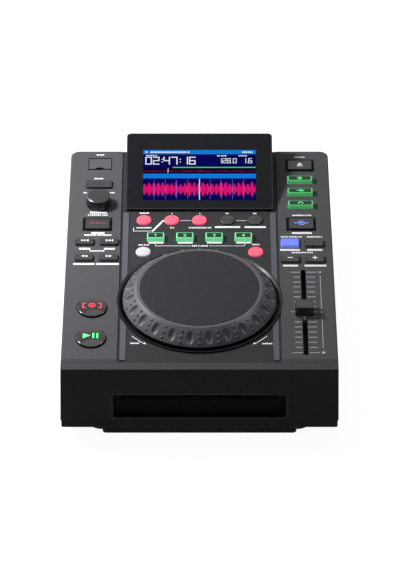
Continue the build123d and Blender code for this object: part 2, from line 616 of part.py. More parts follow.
with BuildPart() as bottom_tray:
    grow = (FRONT_TOP_Z - SEAM_Z) * tan(radians(SIDE_DRAFT))
    tray_width = BODY_WIDTH + 2 * grow - 2 * SEAM_INSET
    tray_depth = BODY_DEPTH - 2 * SEAM_INSET
    with BuildSketch(Plane.XY.offset(GROUND_GAP)) as tray_plan:
        with Locations((0, MIDDLE_Y)):
            Rectangle(tray_width, tray_depth)
        fillet(tray_plan.vertices().group_by(Axis.Y)[-1], REAR_CORNER_R - SEAM_INSET)
        fillet(tray_plan.vertices().group_by(Axis.Y)[0], FRONT_CORNER_R)
    extrude(amount=SEAM_Z - SEAM_GAP - GROUND_GAP)
    chamfer(bottom_tray.faces().sort_by(Axis.Z)[0].edges(), 0.8)
    with BuildSketch(Plane.XY.offset(GROUND_GAP)) as plinth_plan:
        with Locations((0, MIDDLE_Y)):
            RectangleRounded(2 * PLINTH_HALF, PLINTH_LENGTH, PLINTH_CORNER_R)
    extrude(amount=-PLINTH_DROP)
    chamfer(bottom_tray.faces().sort_by(Axis.Z)[0].edges(), PLINTH_EDGE)
    with BuildSketch(Plane.XY.offset(GROUND_GAP + TRAY_FLOOR)):
        with Locations((0, MIDDLE_Y)):
            RectangleRounded(tray_width - 2 * WALL, tray_depth - 2 * WALL, REAR_CORNER_R - WALL)
    extrude(amount=20, mode=Mode.SUBTRACT)
    with BuildSketch(Plane.XY.offset(GROUND_GAP - PLINTH_DROP + TRAY_FLOOR)):
        with Locations((0, MIDDLE_Y)):
            RectangleRounded(2 * PLINTH_HALF - 2 * WALL, PLINTH_LENGTH - 2 * WALL, PLINTH_CORNER_R - 1)
    extrude(amount=20, mode=Mode.SUBTRACT)
    # seats for the case screws, and standoffs for the drive
    with BuildSketch(Plane.XY.offset(GROUND_GAP)):
        with Locations(*POSTS):
            Circle(POST_R + 1.2)
    extrude(amount=POST_FOOT_Z - GROUND_GAP)
    with BuildSketch(Plane.XY.offset(GROUND_GAP)):
        with Locations(*POSTS):
            Circle(SCREW_R + 0.2)
    extrude(amount=POST_FOOT_Z - GROUND_GAP, mode=Mode.SUBTRACT)
    with BuildSketch(Plane.XY.offset(GROUND_GAP)):
        with Locations(*POSTS):
            Circle(SCREW_HEAD_R + 0.2)
    extrude(amount=SCREW_SINK, mode=Mode.SUBTRACT)
    with BuildSketch(Plane.XY.offset(GROUND_GAP - PLINTH_DROP + TRAY_FLOOR)):
        with Locations((0, DRIVE_FRONT_Y + DRIVE_LENGTH / 2)):
            with GridLocations(2 * STANDOFF_X, DRIVE_LENGTH - 2 * STANDOFF_INSET, 2, 2):
                Circle(STANDOFF_R)
    extrude(amount=DRIVE_BOTTOM_Z - GROUND_GAP + PLINTH_DROP - TRAY_FLOOR)
save(bottom_tray, "bottom_tray")

with BuildPart() as trim_strips:
    with BuildSketch(PANEL.offset(-CENTRE_DROP - TRIM_SUNK)):
        for side in (-1, 1):
            with Locations((side * (TRIM_INNER + TRIM_OUTER) / 2, (TRIM_FRONT_V + DISPLAY_FRONT_V) / 2 - 1)):
                Rectangle(TRIM_OUTER - TRIM_INNER - 0.1, DISPLAY_FRONT_V - TRIM_FRONT_V - 2.1)
    extrude(amount=TRIM_SUNK + TRIM_PROUD)
    # the strips stop at the ring round the jog wheel
    with BuildSketch(PANEL.offset(-5)):
        Circle(JOG_HOLE_R + 0.4)
    extrude(amount=10, mode=Mode.SUBTRACT)
save(trim_strips, "trim_strips")

# ---------------------------------------------------------------- display
with BuildPart() as display_housing:
    with BuildSketch(DISPLAY) as bezel_plan:
        with Locations((0, DISPLAY_LENGTH / 2)):
            Rectangle(DISPLAY_WIDTH, DISPLAY_LENGTH)
        fillet(bezel_plan.vertices().group_by(Axis.Y)[-1], DISPLAY_CORNER_R)
        fillet(bezel_plan.vertices().group_by(Axis.Y)[0], 1.0)
    extrude(amount=-45)
    with BuildSketch(DISPLAY.offset(-WINDOW_THICK - LCD_THICK - 1.0)):
        with Locations((0, DISPLAY_LENGTH / 2)):
            Rectangle(DISPLAY_WIDTH - 2 * DISPLAY_WALL, DISPLAY_LENGTH - 2 * DISPLAY_WALL)
    extrude(amount=-60, mode=Mode.SUBTRACT)
    with BuildSketch(DISPLAY):
        with Locations((0, DISPLAY_LENGTH / 2)):
            RectangleRounded(
                DISPLAY_WIDTH - 2 * DISPLAY_RIM,
                DISPLAY_LENGTH - 2 * DISPLAY_RIM,
                DISPLAY_CORNER_R - DISPLAY_RIM,
            )
    extrude(amount=-WINDOW_THICK, mode=Mode.SUBTRACT)
    with BuildSketch(DISPLAY):
        with Locations((0, SCREEN_CENTRE)):
            Rectangle(LCD_WIDTH + 2 * LCD_GAP, LCD_LENGTH + 2 * LCD_GAP)
    extrude(amount=-20, mode=Mode.SUBTRACT)
    split(bisect_by=PANEL.offset(-CENTRE_DROP), keep=Keep.TOP)
save(display_housing, "display_housing")

with BuildPart() as display_window:
    with BuildSketch(DISPLAY.offset(-WINDOW_THICK)):
        with Locations((0, DISPLAY_LENGTH / 2)):
            RectangleRounded(
                DISPLAY_WIDTH - 2 * DISPLAY_RIM - 2 * WINDOW_GAP,
                DISPLAY_LENGTH - 2 * DISPLAY_RIM - 2 * WINDOW_GAP,
                DISPLAY_CORNER_R - DISPLAY_RIM - WINDOW_GAP,
            )
    extrude(amount=WINDOW_THICK - 0.1)
save(display_window, "display_window")

with BuildPart() as lcd_module:
    with BuildSketch(DISPLAY.offset(-WINDOW_THICK)):
        with Locations((0, SCREEN_CENTRE)):
            Rectangle(LCD_WIDTH, LCD_LENGTH)
    extrude(amount=-LCD_THICK)
save(lcd_module, "lcd_module")

# ---------------------------------------------------------------- jog wheel
surround_top = (JOG_HOLE_R - 0.1 - SURROUND_LAND, SURROUND_PROUD)
surround_throat = (JOG_THROAT_R, JOG_THROAT_H)
surround_run = surround_top[0] - surround_throat[0]
surround_fall = surround_top[1] - surround_throat[1]
surround_slope = hypot(surround_run, surround_fall)
surround_middle = (
    (surround_top[0] + surround_throat[0]) / 2 - SURROUND_BULGE * surround_fall / surround_slope,
    (surround_top[1] + surround_throat[1]) / 2 + SURROUND_BULGE * surround_run / surround_slope,
)
with BuildPart() as jog_surround:
    with BuildSketch(JOG_SECTION) as section:
        with BuildLine():
            Polyline(
                surround_throat,
                (JOG_THROAT_R, SURROUND_FOOT[0] - JOG_DISH_DEPTH),
                (JOG_THROAT_R - SURROUND_FOOT[1], SURROUND_FOOT[0] - JOG_DISH_DEPTH),
                (JOG_THROAT_R - SURROUND_FOOT[1], -JOG_DISH_DEPTH),
                (JOG_HOLE_R - 0.1, -JOG_DISH_DEPTH),
                (JOG_HOLE_R - 0.1, SURROUND_PROUD),
                surround_top,
            )
            ThreePointArc(surround_top, surround_middle, surround_throat)
        make_face()
    revolve(axis=JOG_AXIS)
save(jog_surround, "jog_surround")

# the skirt's slope, from its foot to the rim, and the directions along and out of it
SKIRT_FOOT = (JOG_SKIRT_R, JOG_SKIRT_BOTTOM + SKIRT_BAND)
SKIRT_HEAD = (JOG_RIM_R, JOG_TOP - RIM_EDGE)
SLOPE_LENGTH = hypot(SKIRT_FOOT[0] - SKIRT_HEAD[0], SKIRT_HEAD[1] - SKIRT_FOOT[1])
SLOPE_IN = (SKIRT_FOOT[0] - SKIRT_HEAD[0]) / SLOPE_LENGTH
SLOPE_UP = (SKIRT_HEAD[1] - SKIRT_FOOT[1]) / SLOPE_LENGTH


def skirt_point(share, out):
    """A point over the skirt: share of the way up its slope, and out from its convex face."""
    bulge = SKIRT_BULGE * (1 - (2 * share - 1) ** 2)
    radius = SKIRT_FOOT[0] - SLOPE_IN * SLOPE_LENGTH * share + SLOPE_UP * (out + bulge)
    height = SKIRT_FOOT[1] + SLOPE_UP * SLOPE_LENGTH * share + SLOPE_IN * (out + bulge)
    return radius, height


# a dimple is a lens of revolution that lies along the slope
DIMPLE_GIRTH_R = (DIMPLE_WIDTH**2 / 4 + DIMPLE_DEPTH**2) / (2 * DIMPLE_DEPTH)
DIMPLE_ARC_R = ((DIMPLE_LENGTH / 2) ** 2 + DIMPLE_DEPTH**2) / (2 * DIMPLE_DEPTH)
dimple_middle = skirt_point(0.5, DIMPLE_GIRTH_R - DIMPLE_DEPTH)
dimple_reach = 0.62 * DIMPLE_LENGTH
dimple_end_r = DIMPLE_GIRTH_R - DIMPLE_ARC_R + sqrt(DIMPLE_ARC_R**2 - dimple_reach**2)
with BuildPart() as dimple:
    along = Plane(
        origin=(dimple_middle[0], 0, dimple_middle[1]),
        x_dir=(-SLOPE_IN, 0, SLOPE_UP),
        z_dir=(0, -1, 0),
    )
    with BuildSketch(along):
        with BuildLine():
            Polyline(
                (-dimple_reach, dimple_end_r), (-dimple_reach, 0), (dimple_reach, 0), (dimple_reach, dimple_end_r)
            )
            ThreePointArc((dimple_reach, dimple_end_r), (0, DIMPLE_GIRTH_R), (-dimple_reach, dimple_end_r))
        make_face()
    revolve(axis=Axis(along.origin, along.x_dir))

with BuildPart() as bump_column:
    for share in BUMP_SHARES:
        radius, height = skirt_point(share, -BUMP_SUNK)
        with Locations((radius, 0, height)):
            Sphere(BUMP_R)

with BuildPart() as jog_ring:
    with BuildSketch(JOG_SECTION) as wheel_section:
        with BuildLine():
            Polyline(
                (WEB_INNER_R, PLATE_SEAT - JOG_WEB),
                (WEB_INNER_R, PLATE_SEAT),
                (JOG_PLATE_R + PLATE_GAP, PLATE_SEAT),
                (JOG_PLATE_R + PLATE_GAP, JOG_TOP - PLATE_RECESS),
                (JOG_RIM_R - RIM_EDGE, JOG_TOP - PLATE_RECESS),
                SKIRT_HEAD,
            )
            ThreePointArc(SKIRT_HEAD, skirt_point(0.5, 0), SKIRT_FOOT)
            Polyline(
                SKIRT_FOOT,
                (JOG_SKIRT_R, JOG_SKIRT_BOTTOM),
                (JOG_SKIRT_R - JOG_SKIRT_WALL, JOG_SKIRT_BOTTOM),
                (JOG_RIM_R - JOG_SKIRT_WALL, PLATE_SEAT - JOG_WEB),
                (WEB_INNER_R, PLATE_SEAT - JOG_WEB),
            )
        make_face()
    revolve(axis=JOG_AXIS)
    with Locations(PANEL):
        with PolarLocations(0, DIMPLE_COUNT, start_angle=DIMPLE_TURN):
            add(dimple.part, mode=Mode.SUBTRACT)
        with PolarLocations(0, DIMPLE_COUNT, start_angle=DIMPLE_TURN + 180 / DIMPLE_COUNT):
            add(bump_column.part)
save(jog_ring, "jog_ring")

with BuildPart() as jog_plate:
    with BuildSketch(PANEL.offset(PLATE_SEAT)):
        Circle(JOG_PLATE_R)
    extrude(amount=JOG_PLATE_THICK)
    chamfer(jog_plate.faces().sort_by(Axis.Z)[-1].edges(), 0.3)
save(jog_plate, "jog_plate")

with BuildPart() as jog_hub:
    shoulder_bottom = -JOG_DISH_DEPTH + BEARING_FLANGE_THICK + END_PLAY
    with BuildSketch(JOG_SECTION):
        with BuildLine():
            Polyline(
                (0, PLATE_SEAT - JOG_WEB),
                (HUB_FLANGE_R, PLATE_SEAT - JOG_WEB),
                (HUB_FLANGE_R, PLATE_SEAT - JOG_WEB - HUB_FLANGE_THICK),
                (SHAFT_SHOULDER_R, PLATE_SEAT - JOG_WEB - HUB_FLANGE_THICK),
                (SHAFT_SHOULDER_R, shoulder_bottom),
                (SHAFT_R, shoulder_bottom),
                (SHAFT_R, -JOG_DISH_DEPTH - BEARING_LENGTH - 2),
                (0, -JOG_DISH_DEPTH - BEARING_LENGTH - 2),
                close=True,
            )
        make_face()
    revolve(axis=JOG_AXIS)
save(jog_hub, "jog_hub")

with BuildPart() as jog_bearing:
    with BuildSketch(JOG_SECTION):
        with BuildLine():
            Polyline(
                (SHAFT_R + SHAFT_CLEARANCE, -JOG_DISH_DEPTH + BEARING_FLANGE_THICK),
                (BEARING_FLANGE_R, -JOG_DISH_DEPTH + BEARING_FLANGE_THICK),
                (BEARING_FLANGE_R, -JOG_DISH_DEPTH),
                (BEARING_R, -JOG_DISH_DEPTH),
                (BEARING_R, -JOG_DISH_DEPTH - BEARING_LENGTH),
                (SHAFT_R + SHAFT_CLEARANCE, -JOG_DISH_DEPTH - BEARING_LENGTH),
                close=True,
            )
        make_face()
    revolve(axis=JOG_AXIS)
save(jog_bearing, "jog_bearing")


# ---------------------------------------------------------------- buttons
def make_button(name, u, v, width, length, proud, base, taper, edge, dome=0.0):
    """A button: visible cap, neck through the panel, retaining flange and stem."""
    corner = corner_of(name)
    with BuildPart() as button:
        with BuildSketch(Plane.XY.offset(base)):
            shape(width, length, corner)
        extrude(amount=proud - base, taper=taper)
        if dome:
            dome_r = (width**2 + dome**2) / (2 * dome)
            with Locations((0, 0, proud - dome_r)):
                Sphere(dome_r, mode=Mode.INTERSECT)
        fillet(button.faces().sort_by(Axis.Z)[-1].edges(), edge)
        with BuildSketch(Plane.XY.offset(base)):
            shape(width, length, corner)
        extrude(amount=FLANGE_TOP - base)
        with BuildSketch(Plane.XY.offset(FLANGE_TOP)):
            shape(width, length, corner, FLANGE_LIP)
        extrude(amount=-FLANGE_THICK)
        travel = BIG_TRAVEL if name in BIG_BUTTONS else TRAVEL
        with BuildSketch(Plane.XY.offset(FLANGE_TOP - FLANGE_THICK)):
            Circle(STEM_R)
        extrude(amount=SWITCH_TOP + travel + SWITCH_GAP - FLANGE_TOP + FLANGE_THICK)
    with BuildPart() as placed:
        with Locations(PANEL.location * Location((u, v, 0))):
            add(button.part)
    save(placed, name)


for name, (u, v, width, length, proud) in KEYS.items():
    make_button(name, u, v, width, length, proud, 0, KEY_TAPER, CAP_EDGE_R)
for name, (u, v, width, length, proud) in POCKET_KEYS.items():
    make_button(name, u, v, width, length, proud, -POCKET_DEPTH, POCKET_KEY_TAPER, CAP_EDGE_R)
for name, (u, v, width, length, proud) in SOURCE_KEYS.items():
    make_button(name, u, v, width, length, proud, 0, LIT_TAPER, CAP_EDGE_R)
for name, (u, v, width, length, proud) in HOT_CUES.items():
    make_button(name, u, v, width, length, proud - CENTRE_DROP, -CENTRE_DROP, LIT_TAPER, CAP_EDGE_R)
for name, (u, v) in LOOP_BUTTONS.items():
    proud = ROUND_PROUD - CENTRE_DROP
    make_button(name, u, v, ROUND_R, None, proud, -CENTRE_DROP, ROUND_TAPER, ROUND_EDGE_R, ROUND_DOME)
for name, (u, v) in BIG_BUTTONS.items():
    make_button(name, u, v, BIG_R, None, BIG_PROUD, -BIG_SUNK, BIG_TAPER, BIG_EDGE_R, BIG_DOME)

# ---------------------------------------------------------------- browse knob and encoder
BROWSE_SECTION = Plane(
    origin=PANEL.from_local_coords((BROWSE_U, BROWSE_V, 0)), x_dir=(1, 0, 0), z_dir=PANEL.y_dir * -1
)
BROWSE_AXIS = Axis(BROWSE_SECTION.origin, PANEL.z_dir)
ENCODER_BOTTOM = ENCODER_TOP - ENCODER_HEIGHT

with BuildPart() as browse_knob:
    knob_top = KNOB_LIFT + KNOB_HEIGHT
    with BuildSketch(BROWSE_SECTION):
        with BuildLine():
            Polyline(
                (0, ENCODER_BOTTOM + 2),
                (STEM_FIT_R, ENCODER_BOTTOM + 2),
                (STEM_FIT_R, KNOB_LIFT + 2.2),
                (KNOB_R - 1.6, KNOB_LIFT + 2.2),
                (KNOB_R - 1.6, KNOB_LIFT),
                (KNOB_R, KNOB_LIFT),
                (KNOB_TOP_R + 0.5, knob_top - KNOB_EDGE_R),
                (KNOB_TOP_R - KNOB_EDGE_R * 0.6, knob_top - 0.2),
                (KNOB_TOP_R - 3, knob_top),
                (0, knob_top),
                close=True,
            )
        make_face()
    revolve(axis=BROWSE_AXIS)
    with BuildSketch(PANEL.offset(KNOB_LIFT)):
        with Locations((BROWSE_U, BROWSE_V)):
            with PolarLocations(KNOB_R + 0.15, KNOB_GROOVES):
                Circle(KNOB_GROOVE_R)
    extrude(amount=KNOB_HEIGHT, taper=0, mode=Mode.SUBTRACT)
save(browse_knob, "browse_knob")

with BuildPart() as browse_rotor:
    with BuildSketch(BROWSE_SECTION):
        with BuildLine():
            Polyline(
                (STEM_FIT_R + ENCODER_FIT, ENCODER_BOTTOM + 1.2),
                (ROTOR_R, ENCODER_BOTTOM + 1.2),
                (ROTOR_R, KNOB_LIFT + 2.2 - KNOB_PRESS - 0.3),
                (STEM_FIT_R + ENCODER_FIT, KNOB_LIFT + 2.2 - KNOB_PRESS - 0.3),
                close=True,
            )
        make_face()
    revolve(axis=BROWSE_AXIS)
save(browse_rotor, "browse_rotor")

with BuildPart() as browse_encoder:
    with BuildSketch(PANEL.offset(ENCODER_TOP)):
        with Locations((BROWSE_U, BROWSE_V)):
            Rectangle(ENCODER_SIDE, ENCODER_SIDE)
    extrude(amount=-ENCODER_HEIGHT)
    with BuildSketch(PANEL.offset(ENCODER_TOP)):
        with Locations((BROWSE_U, BROWSE_V)):
            Circle(ROTOR_R + ENCODER_FIT)
    extrude(amount=-(ENCODER_HEIGHT - 1.1), mode=Mode.SUBTRACT)
save(browse_encoder, "browse_encoder")

# ---------------------------------------------------------------- pitch fader
CHANNEL_TOP = -WALL - 0.2
CARRIAGE_TOP = CHANNEL_TOP - 0.9

with BuildPart() as fader_channel:
    with BuildSketch(PANEL.offset(CHANNEL_TOP)):
        with Locations((FADER_U, FADER_V)):
            Rectangle(FADER_CHANNEL_WIDTH, FADER_CHANNEL_LENGTH)
    extrude(amount=-FADER_CHANNEL_DEPTH)
    with BuildSketch(PANEL.offset(CHANNEL_TOP - 0.8)):
        with Locations((FADER_U, FADER_V)):
            Rectangle(
                FADER_CHANNEL_WIDTH - 2 * FADER_CHANNEL_WALL, FADER_CHANNEL_LENGTH - 2 * FADER_CHANNEL_WALL
            )
    extrude(amount=-(FADER_CHANNEL_DEPTH - 2), mode=Mode.SUBTRACT)
    with BuildSketch(PANEL.offset(CHANNEL_TOP)):
        with Locations((FADER_U, FADER_V)):
            SlotOverall(FADER_TRAVEL + FADER_BLADE[1] + 2 * FADER_END_ROOM, FADER_SLOT_WIDTH - 0.6, rotation=90)
    extrude(amount=-2, mode=Mode.SUBTRACT)
save(fader_channel, "fader_channel")

with BuildPart() as fader_carriage:
    with BuildSketch(PANEL.offset(CARRIAGE_TOP)):
        with Locations((FADER_U, FADER_V)):
            Rectangle(FADER_CARRIAGE[0], FADER_CARRIAGE[1])
    extrude(amount=-FADER_CARRIAGE[2])
    with BuildSketch(PANEL.offset(CARRIAGE_TOP)):
        with Locations((FADER_U, FADER_V)):
            Rectangle(*FADER_BLADE)
    extrude(amount=FADER_CAP_LIFT + 4.5 - CARRIAGE_TOP)
save(fader_carriage, "fader_carriage")

with BuildPart() as fader_cap:
    with BuildSketch(PANEL.offset(FADER_CAP_LIFT)):
        with Locations((FADER_U, FADER_V)):
            Rectangle(*FADER_CAP)
    extrude(amount=FADER_CAP_HEIGHT, taper=FADER_CAP_TAPER)
    # concave finger rest across the top
    cap_middle = PANEL.from_local_coords((FADER_U, FADER_V, FADER_CAP_LIFT + FADER_CAP_HEIGHT))
    dish_r = ((FADER_CAP[1] * 0.34) ** 2 + FADER_CAP_DISH**2) / (2 * FADER_CAP_DISH)
    with BuildSketch(Plane(origin=cap_middle, x_dir=PANEL.y_dir, z_dir=(1, 0, 0))):
        with Locations((0, dish_r - FADER_CAP_DISH)):
            Circle(dish_r)
    extrude(amount=FADER_CAP[0], both=True, mode=Mode.SUBTRACT)
    # socket for the blade
    with BuildSketch(PANEL.offset(FADER_CAP_LIFT)):
        with Locations((FADER_U, FADER_V)):
            Rectangle(*FADER_BLADE)
    extrude(amount=4.5, mode=Mode.SUBTRACT)
save(fader_cap, "fader_cap")

# ---------------------------------------------------------------- USB door and socket
with BuildPart() as usb_door:
    door_side = Plane(
        origin=PANEL.from_local_coords((USB_U, DOOR_AXIS_V, DOOR_AXIS_H)), x_dir=PANEL.y_dir, z_dir=(1, 0, 0)
    )
    with BuildSketch(door_side):
        with Locations(((DOOR_THICK - DOOR_LENGTH) / 2, 0)):
            Rectangle(DOOR_LENGTH - DOOR_THICK, DOOR_THICK)
        Circle(DOOR_THICK / 2)
    extrude(amount=DOOR_WIDTH / 2, both=True)
    with BuildSketch(PANEL.offset(2)):
        with Locations((USB_U, USB_V - DOOR_LENGTH / 2 - DOOR_NOTCH_R + DOOR_NOTCH_DEPTH)):
            Circle(DOOR_NOTCH_R)
    extrude(amount=-(2 + DOOR_THICK + 1), mode=Mode.SUBTRACT)
    with BuildSketch(door_side):
        Circle(DOOR_PIN_R)
    extrude(amount=DOOR_WIDTH / 2 + DOOR_PIN_LENGTH, both=True)
save(usb_door, "usb_door")

with BuildPart() as usb_socket:
    with BuildSketch(PANEL.offset(-WELL_DEPTH)):
        with Locations((USB_U, USB_V)):
            Rectangle(*SOCKET_OUTER)
    extrude(amount=-SOCKET_LENGTH)
    with BuildSketch(PANEL.offset(-WELL_DEPTH)):
        with Locations((USB_U, USB_V)):
            Rectangle(*SOCKET_INNER)
    extrude(amount=-(SOCKET_LENGTH - 1.5), mode=Mode.SUBTRACT)
    with BuildSketch(PANEL.offset(-WELL_DEPTH - SOCKET_LENGTH + 1.5)):
        with Locations((USB_U, USB_V + (SOCKET_INNER[1] - SOCKET_TONGUE[1]) / 2 - 0.4)):
            Rectangle(*SOCKET_TONGUE)
    extrude(amount=SOCKET_LENGTH - 3.5)
save(usb_socket, "usb_socket")

# ---------------------------------------------------------------- disc drive
with BuildPart() as drive_chassis:
    with BuildSketch(Plane.XY.offset(DRIVE_BOTTOM_Z)):
        with Locations((0, DRIVE_FRONT_Y + DRIVE_LENGTH / 2)):
            Rectangle(DRIVE_WIDTH, DRIVE_LENGTH)
    extrude(amount=DRIVE_HEIGHT)
    with BuildSketch(Plane.XY.offset(DRIVE_BOTTOM_Z + DRIVE_SHEET)):
        with Locations((0, DRIVE_FRONT_Y + DRIVE_LENGTH / 2)):
            Rectangle(DRIVE_WIDTH - 2 * DRIVE_SHEET, DRIVE_LENGTH - 2 * DRIVE_SHEET)
    extrude(amount=DRIVE_HEIGHT - 2 * DRIVE_SHEET, mode=Mode.SUBTRACT)
    with BuildSketch(Plane.XZ.offset(-DRIVE_FRONT_Y + 2)):
        with Locations((0, SLOT_Z)):
            Rectangle(*DRIVE_MOUTH)
    extrude(amount=-(DRIVE_SHEET + 4), mode=Mode.SUBTRACT)
    # motor under the turntable, with a bore for its spindle
    with BuildSketch(Plane.XY.offset(DRIVE_BOTTOM_Z + DRIVE_SHEET)):
        with Locations((0, HUB_Y)):
            Circle(MOTOR_R)
    extrude(amount=SLOT_Z - DISC_ROOM - HUB_HEIGHT - 1.0 - DRIVE_BOTTOM_Z - DRIVE_SHEET)
    with BuildSketch(Plane.XY.offset(SLOT_Z)):
        with Locations((0, HUB_Y)):
            Circle(HUB_SHAFT_R + PLAIN_FIT)
    extrude(amount=-(DISC_ROOM + HUB_HEIGHT + 1.0 + 8.0), mode=Mode.SUBTRACT)
    # brackets that carry the loading roller
    with BuildSketch(Plane.YZ.offset(-ROLLER_BRACKET_X)):
        with Locations((ROLLER_Y, (DRIVE_BOTTOM_Z + ROLLER_Z + 4) / 2)):
            Rectangle(ROLLER_BRACKET_DEPTH, ROLLER_Z + 4 - DRIVE_BOTTOM_Z)
    extrude(amount=ROLLER_BRACKET_THICK)
    with BuildSketch(Plane.YZ.offset(ROLLER_BRACKET_X)):
        with Locations((ROLLER_Y, (DRIVE_BOTTOM_Z + ROLLER_Z + 4) / 2)):
            Rectangle(ROLLER_BRACKET_DEPTH, ROLLER_Z + 4 - DRIVE_BOTTOM_Z)
    extrude(amount=-ROLLER_BRACKET_THICK)
    with BuildSketch(Plane.YZ):
        with Locations((ROLLER_Y, ROLLER_Z)):
            Circle(ROLLER_SHAFT_R + PLAIN_FIT)
    extrude(amount=ROLLER_BRACKET_X + 1, both=True, mode=Mode.SUBTRACT)
save(drive_chassis, "drive_chassis")

with BuildPart() as disc_hub:
    with BuildSketch(Plane.XY.offset(SLOT_Z - DISC_ROOM)):
        with Locations((0, HUB_Y)):
            Circle(HUB_R)
    extrude(amount=-HUB_HEIGHT)
    with BuildSketch(Plane.XY.offset(SLOT_Z - DISC_ROOM - HUB_HEIGHT)):
        with Locations((0, HUB_Y)):
            Circle(HUB_SHAFT_R)
    extrude(amount=-8.0)
save(disc_hub, "disc_hub")

with BuildPart() as loading_roller:
    with BuildSketch(Plane.YZ):
        with Locations((ROLLER_Y, ROLLER_Z)):
            Circle(ROLLER_R)
    extrude(amount=ROLLER_LENGTH / 2, both=True)
    with BuildSketch(Plane.YZ):
        with Locations((ROLLER_Y, ROLLER_Z)):
            Circle(ROLLER_SHAFT_R)
    extrude(amount=ROLLER_BRACKET_X + 0.5, both=True)
save(loading_roller, "loading_roller")

# ---------------------------------------------------------------- electronics
with BuildPart() as button_boards:
    with BuildSketch(PANEL.offset(-BOARD_DROP)) as boards:
        for group in BUTTON_BOARD_GROUPS:
            us = [BUTTON_PLACES[name][0] for name in group]
            vs = [BUTTON_PLACES[name][1] for name in group]
            with Locations(((min(us) + max(us)) / 2, (min(vs) + max(vs)) / 2)):
                Rectangle(
                    max(us) - min(us) + 2 * BUTTON_BOARD_MARGIN, max(vs) - min(vs) + 2 * BUTTON_BOARD_MARGIN
                )
        Circle(JOG_HOLE_R + JOG_DISH_WALL + 1.2, mode=Mode.SUBTRACT)
        with Locations((BROWSE_U, BROWSE_V)):
            Rectangle(ENCODER_SIDE + 1, ENCODER_SIDE + 1, mode=Mode.SUBTRACT)
    extrude(amount=-BOARD_THICK)
    with BuildSketch(PANEL.offset(-BOARD_DROP)):
        for u, v, *_ in BUTTON_PLACES.values():
            with Locations((u, v)):
                Rectangle(SWITCH_SIDE, SWITCH_SIDE)
    extrude(amount=SWITCH_HEIGHT)
save(button_boards, "button_boards")


def board(name, centre_x, size, parts):
    """A circuit board on the tray, with its larger components as blocks."""
    with BuildPart() as pcb:
        centre_y = REAR_Y - BOARD_FROM_REAR
        with BuildSketch(Plane.XY.offset(BOARD_Z)):
            with Locations((centre_x, centre_y)):
                Rectangle(*size)
        extrude(amount=PCB_THICK)
        for x, y, width, length, height in parts:
            with BuildSketch(Plane.XY.offset(BOARD_Z + PCB_THICK)):
                with Locations((centre_x + x, centre_y + y)):
                    Rectangle(width, length)
            extrude(amount=height)
        for side_x in (-1, 1):
            for side_y in (-1, 1):
                x = centre_x + side_x * (size[0] / 2 - 5)
                y = centre_y + side_y * (size[1] / 2 - 5)
                floor = GROUND_GAP + TRAY_FLOOR - (PLINTH_DROP if abs(x) < PLINTH_HALF - WALL else 0)
                with BuildSketch(Plane.XY.offset(BOARD_Z)):
                    with Locations((x, y)):
                        Circle(BOARD_POST_R)
                extrude(amount=floor - BOARD_Z)
    save(pcb, name)


board("main_board", MAIN_BOARD_X, MAIN_BOARD, MAIN_BOARD_PARTS)
board("power_supply", SUPPLY_BOARD_X, SUPPLY_BOARD, SUPPLY_PARTS)

# ---------------------------------------------------------------- rear connectors
FLANGE_BACK_Y = REAR_Y - REAR_FLANGE_SEAT
ROCKER_PIVOT = (ROCKER_X, FLANGE_BACK_Y + INLET_FACE_THICK - ROCKER_SUNK, INLET_Z)

with BuildPart() as power_inlet:
    # flanged housing that holds both the inlet and the rocker
    with BuildSketch(Plane.XZ.offset(-FLANGE_BACK_Y)):
        with Locations((MODULE_X, INLET_Z)):
            RectangleRounded(*MODULE_FACE, 2.0)
    extrude(amount=-INLET_FACE_THICK)
    with BuildSketch(Plane.XZ.offset(-FLANGE_BACK_Y)):
        with Locations((MODULE_X, INLET_Z)):
            Rectangle(MODULE_FACE[0] - 2 * MODULE_LIP, MODULE_FACE[1] - 2 * MODULE_LIP)
    extrude(amount=INLET_DEPTH)
    chamfer(power_inlet.faces().sort_by(Axis.Y)[-1].edges(), 0.5)
    with BuildSketch(Plane.XZ.offset(-FLANGE_BACK_Y - 5)):
        with Locations((INLET_X, INLET_Z)):
            SlotOverall(INLET_CAVITY[0], INLET_CAVITY[1])
    extrude(amount=5 + INLET_CAVITY_DEPTH, mode=Mode.SUBTRACT)
    with BuildSketch(Plane.XZ.offset(-FLANGE_BACK_Y + INLET_CAVITY_DEPTH)):
        with Locations((INLET_X, INLET_Z)):
            with GridLocations(INLET_PIN_PITCH, 0, 2, 1):
                Circle(INLET_PIN_R)
    extrude(amount=-(INLET_CAVITY_DEPTH - 1))
    with BuildSketch(Plane.XZ.offset(-FLANGE_BACK_Y - 5)):
        with Locations((ROCKER_X, INLET_Z)):
            Rectangle(ROCKER_SIZE[0] + 0.5, ROCKER_SIZE[1] + 1.2)
    extrude(amount=5 + ROCKER_DEPTH + 5, mode=Mode.SUBTRACT)
    with BuildSketch(Plane(origin=ROCKER_PIVOT, x_dir=(0, 1, 0), z_dir=(1, 0, 0))):
        Circle(ROCKER_PIN_R + PLAIN_FIT)
    extrude(amount=ROCKER_SIZE[0] / 2 + 1.4, both=True, mode=Mode.SUBTRACT)
save(power_inlet, "power_inlet")

with BuildPart() as power_rocker:
    tip = radians(ROCKER_TIP)
    rocker_side = Plane(origin=ROCKER_PIVOT, x_dir=(0, cos(tip), sin(tip)), z_dir=(1, 0, 0))
    half = ROCKER_SIZE[1] / 2
    with BuildSketch(rocker_side):
        with BuildLine():
            Polyline(
                (1.4, half), (-ROCKER_DEPTH + 2, half), (-ROCKER_DEPTH, half - 3), (-ROCKER_DEPTH, 3 - half),
                (-ROCKER_DEPTH + 2, -half), (1.4, -half), (0.5, 0), close=True,
            )
        make_face()
    extrude(amount=ROCKER_SIZE[0] / 2, both=True)
    with BuildSketch(rocker_side):
        Circle(ROCKER_PIN_R)
    extrude(amount=ROCKER_SIZE[0] / 2 + 1.1, both=True)
save(power_rocker, "power_rocker")

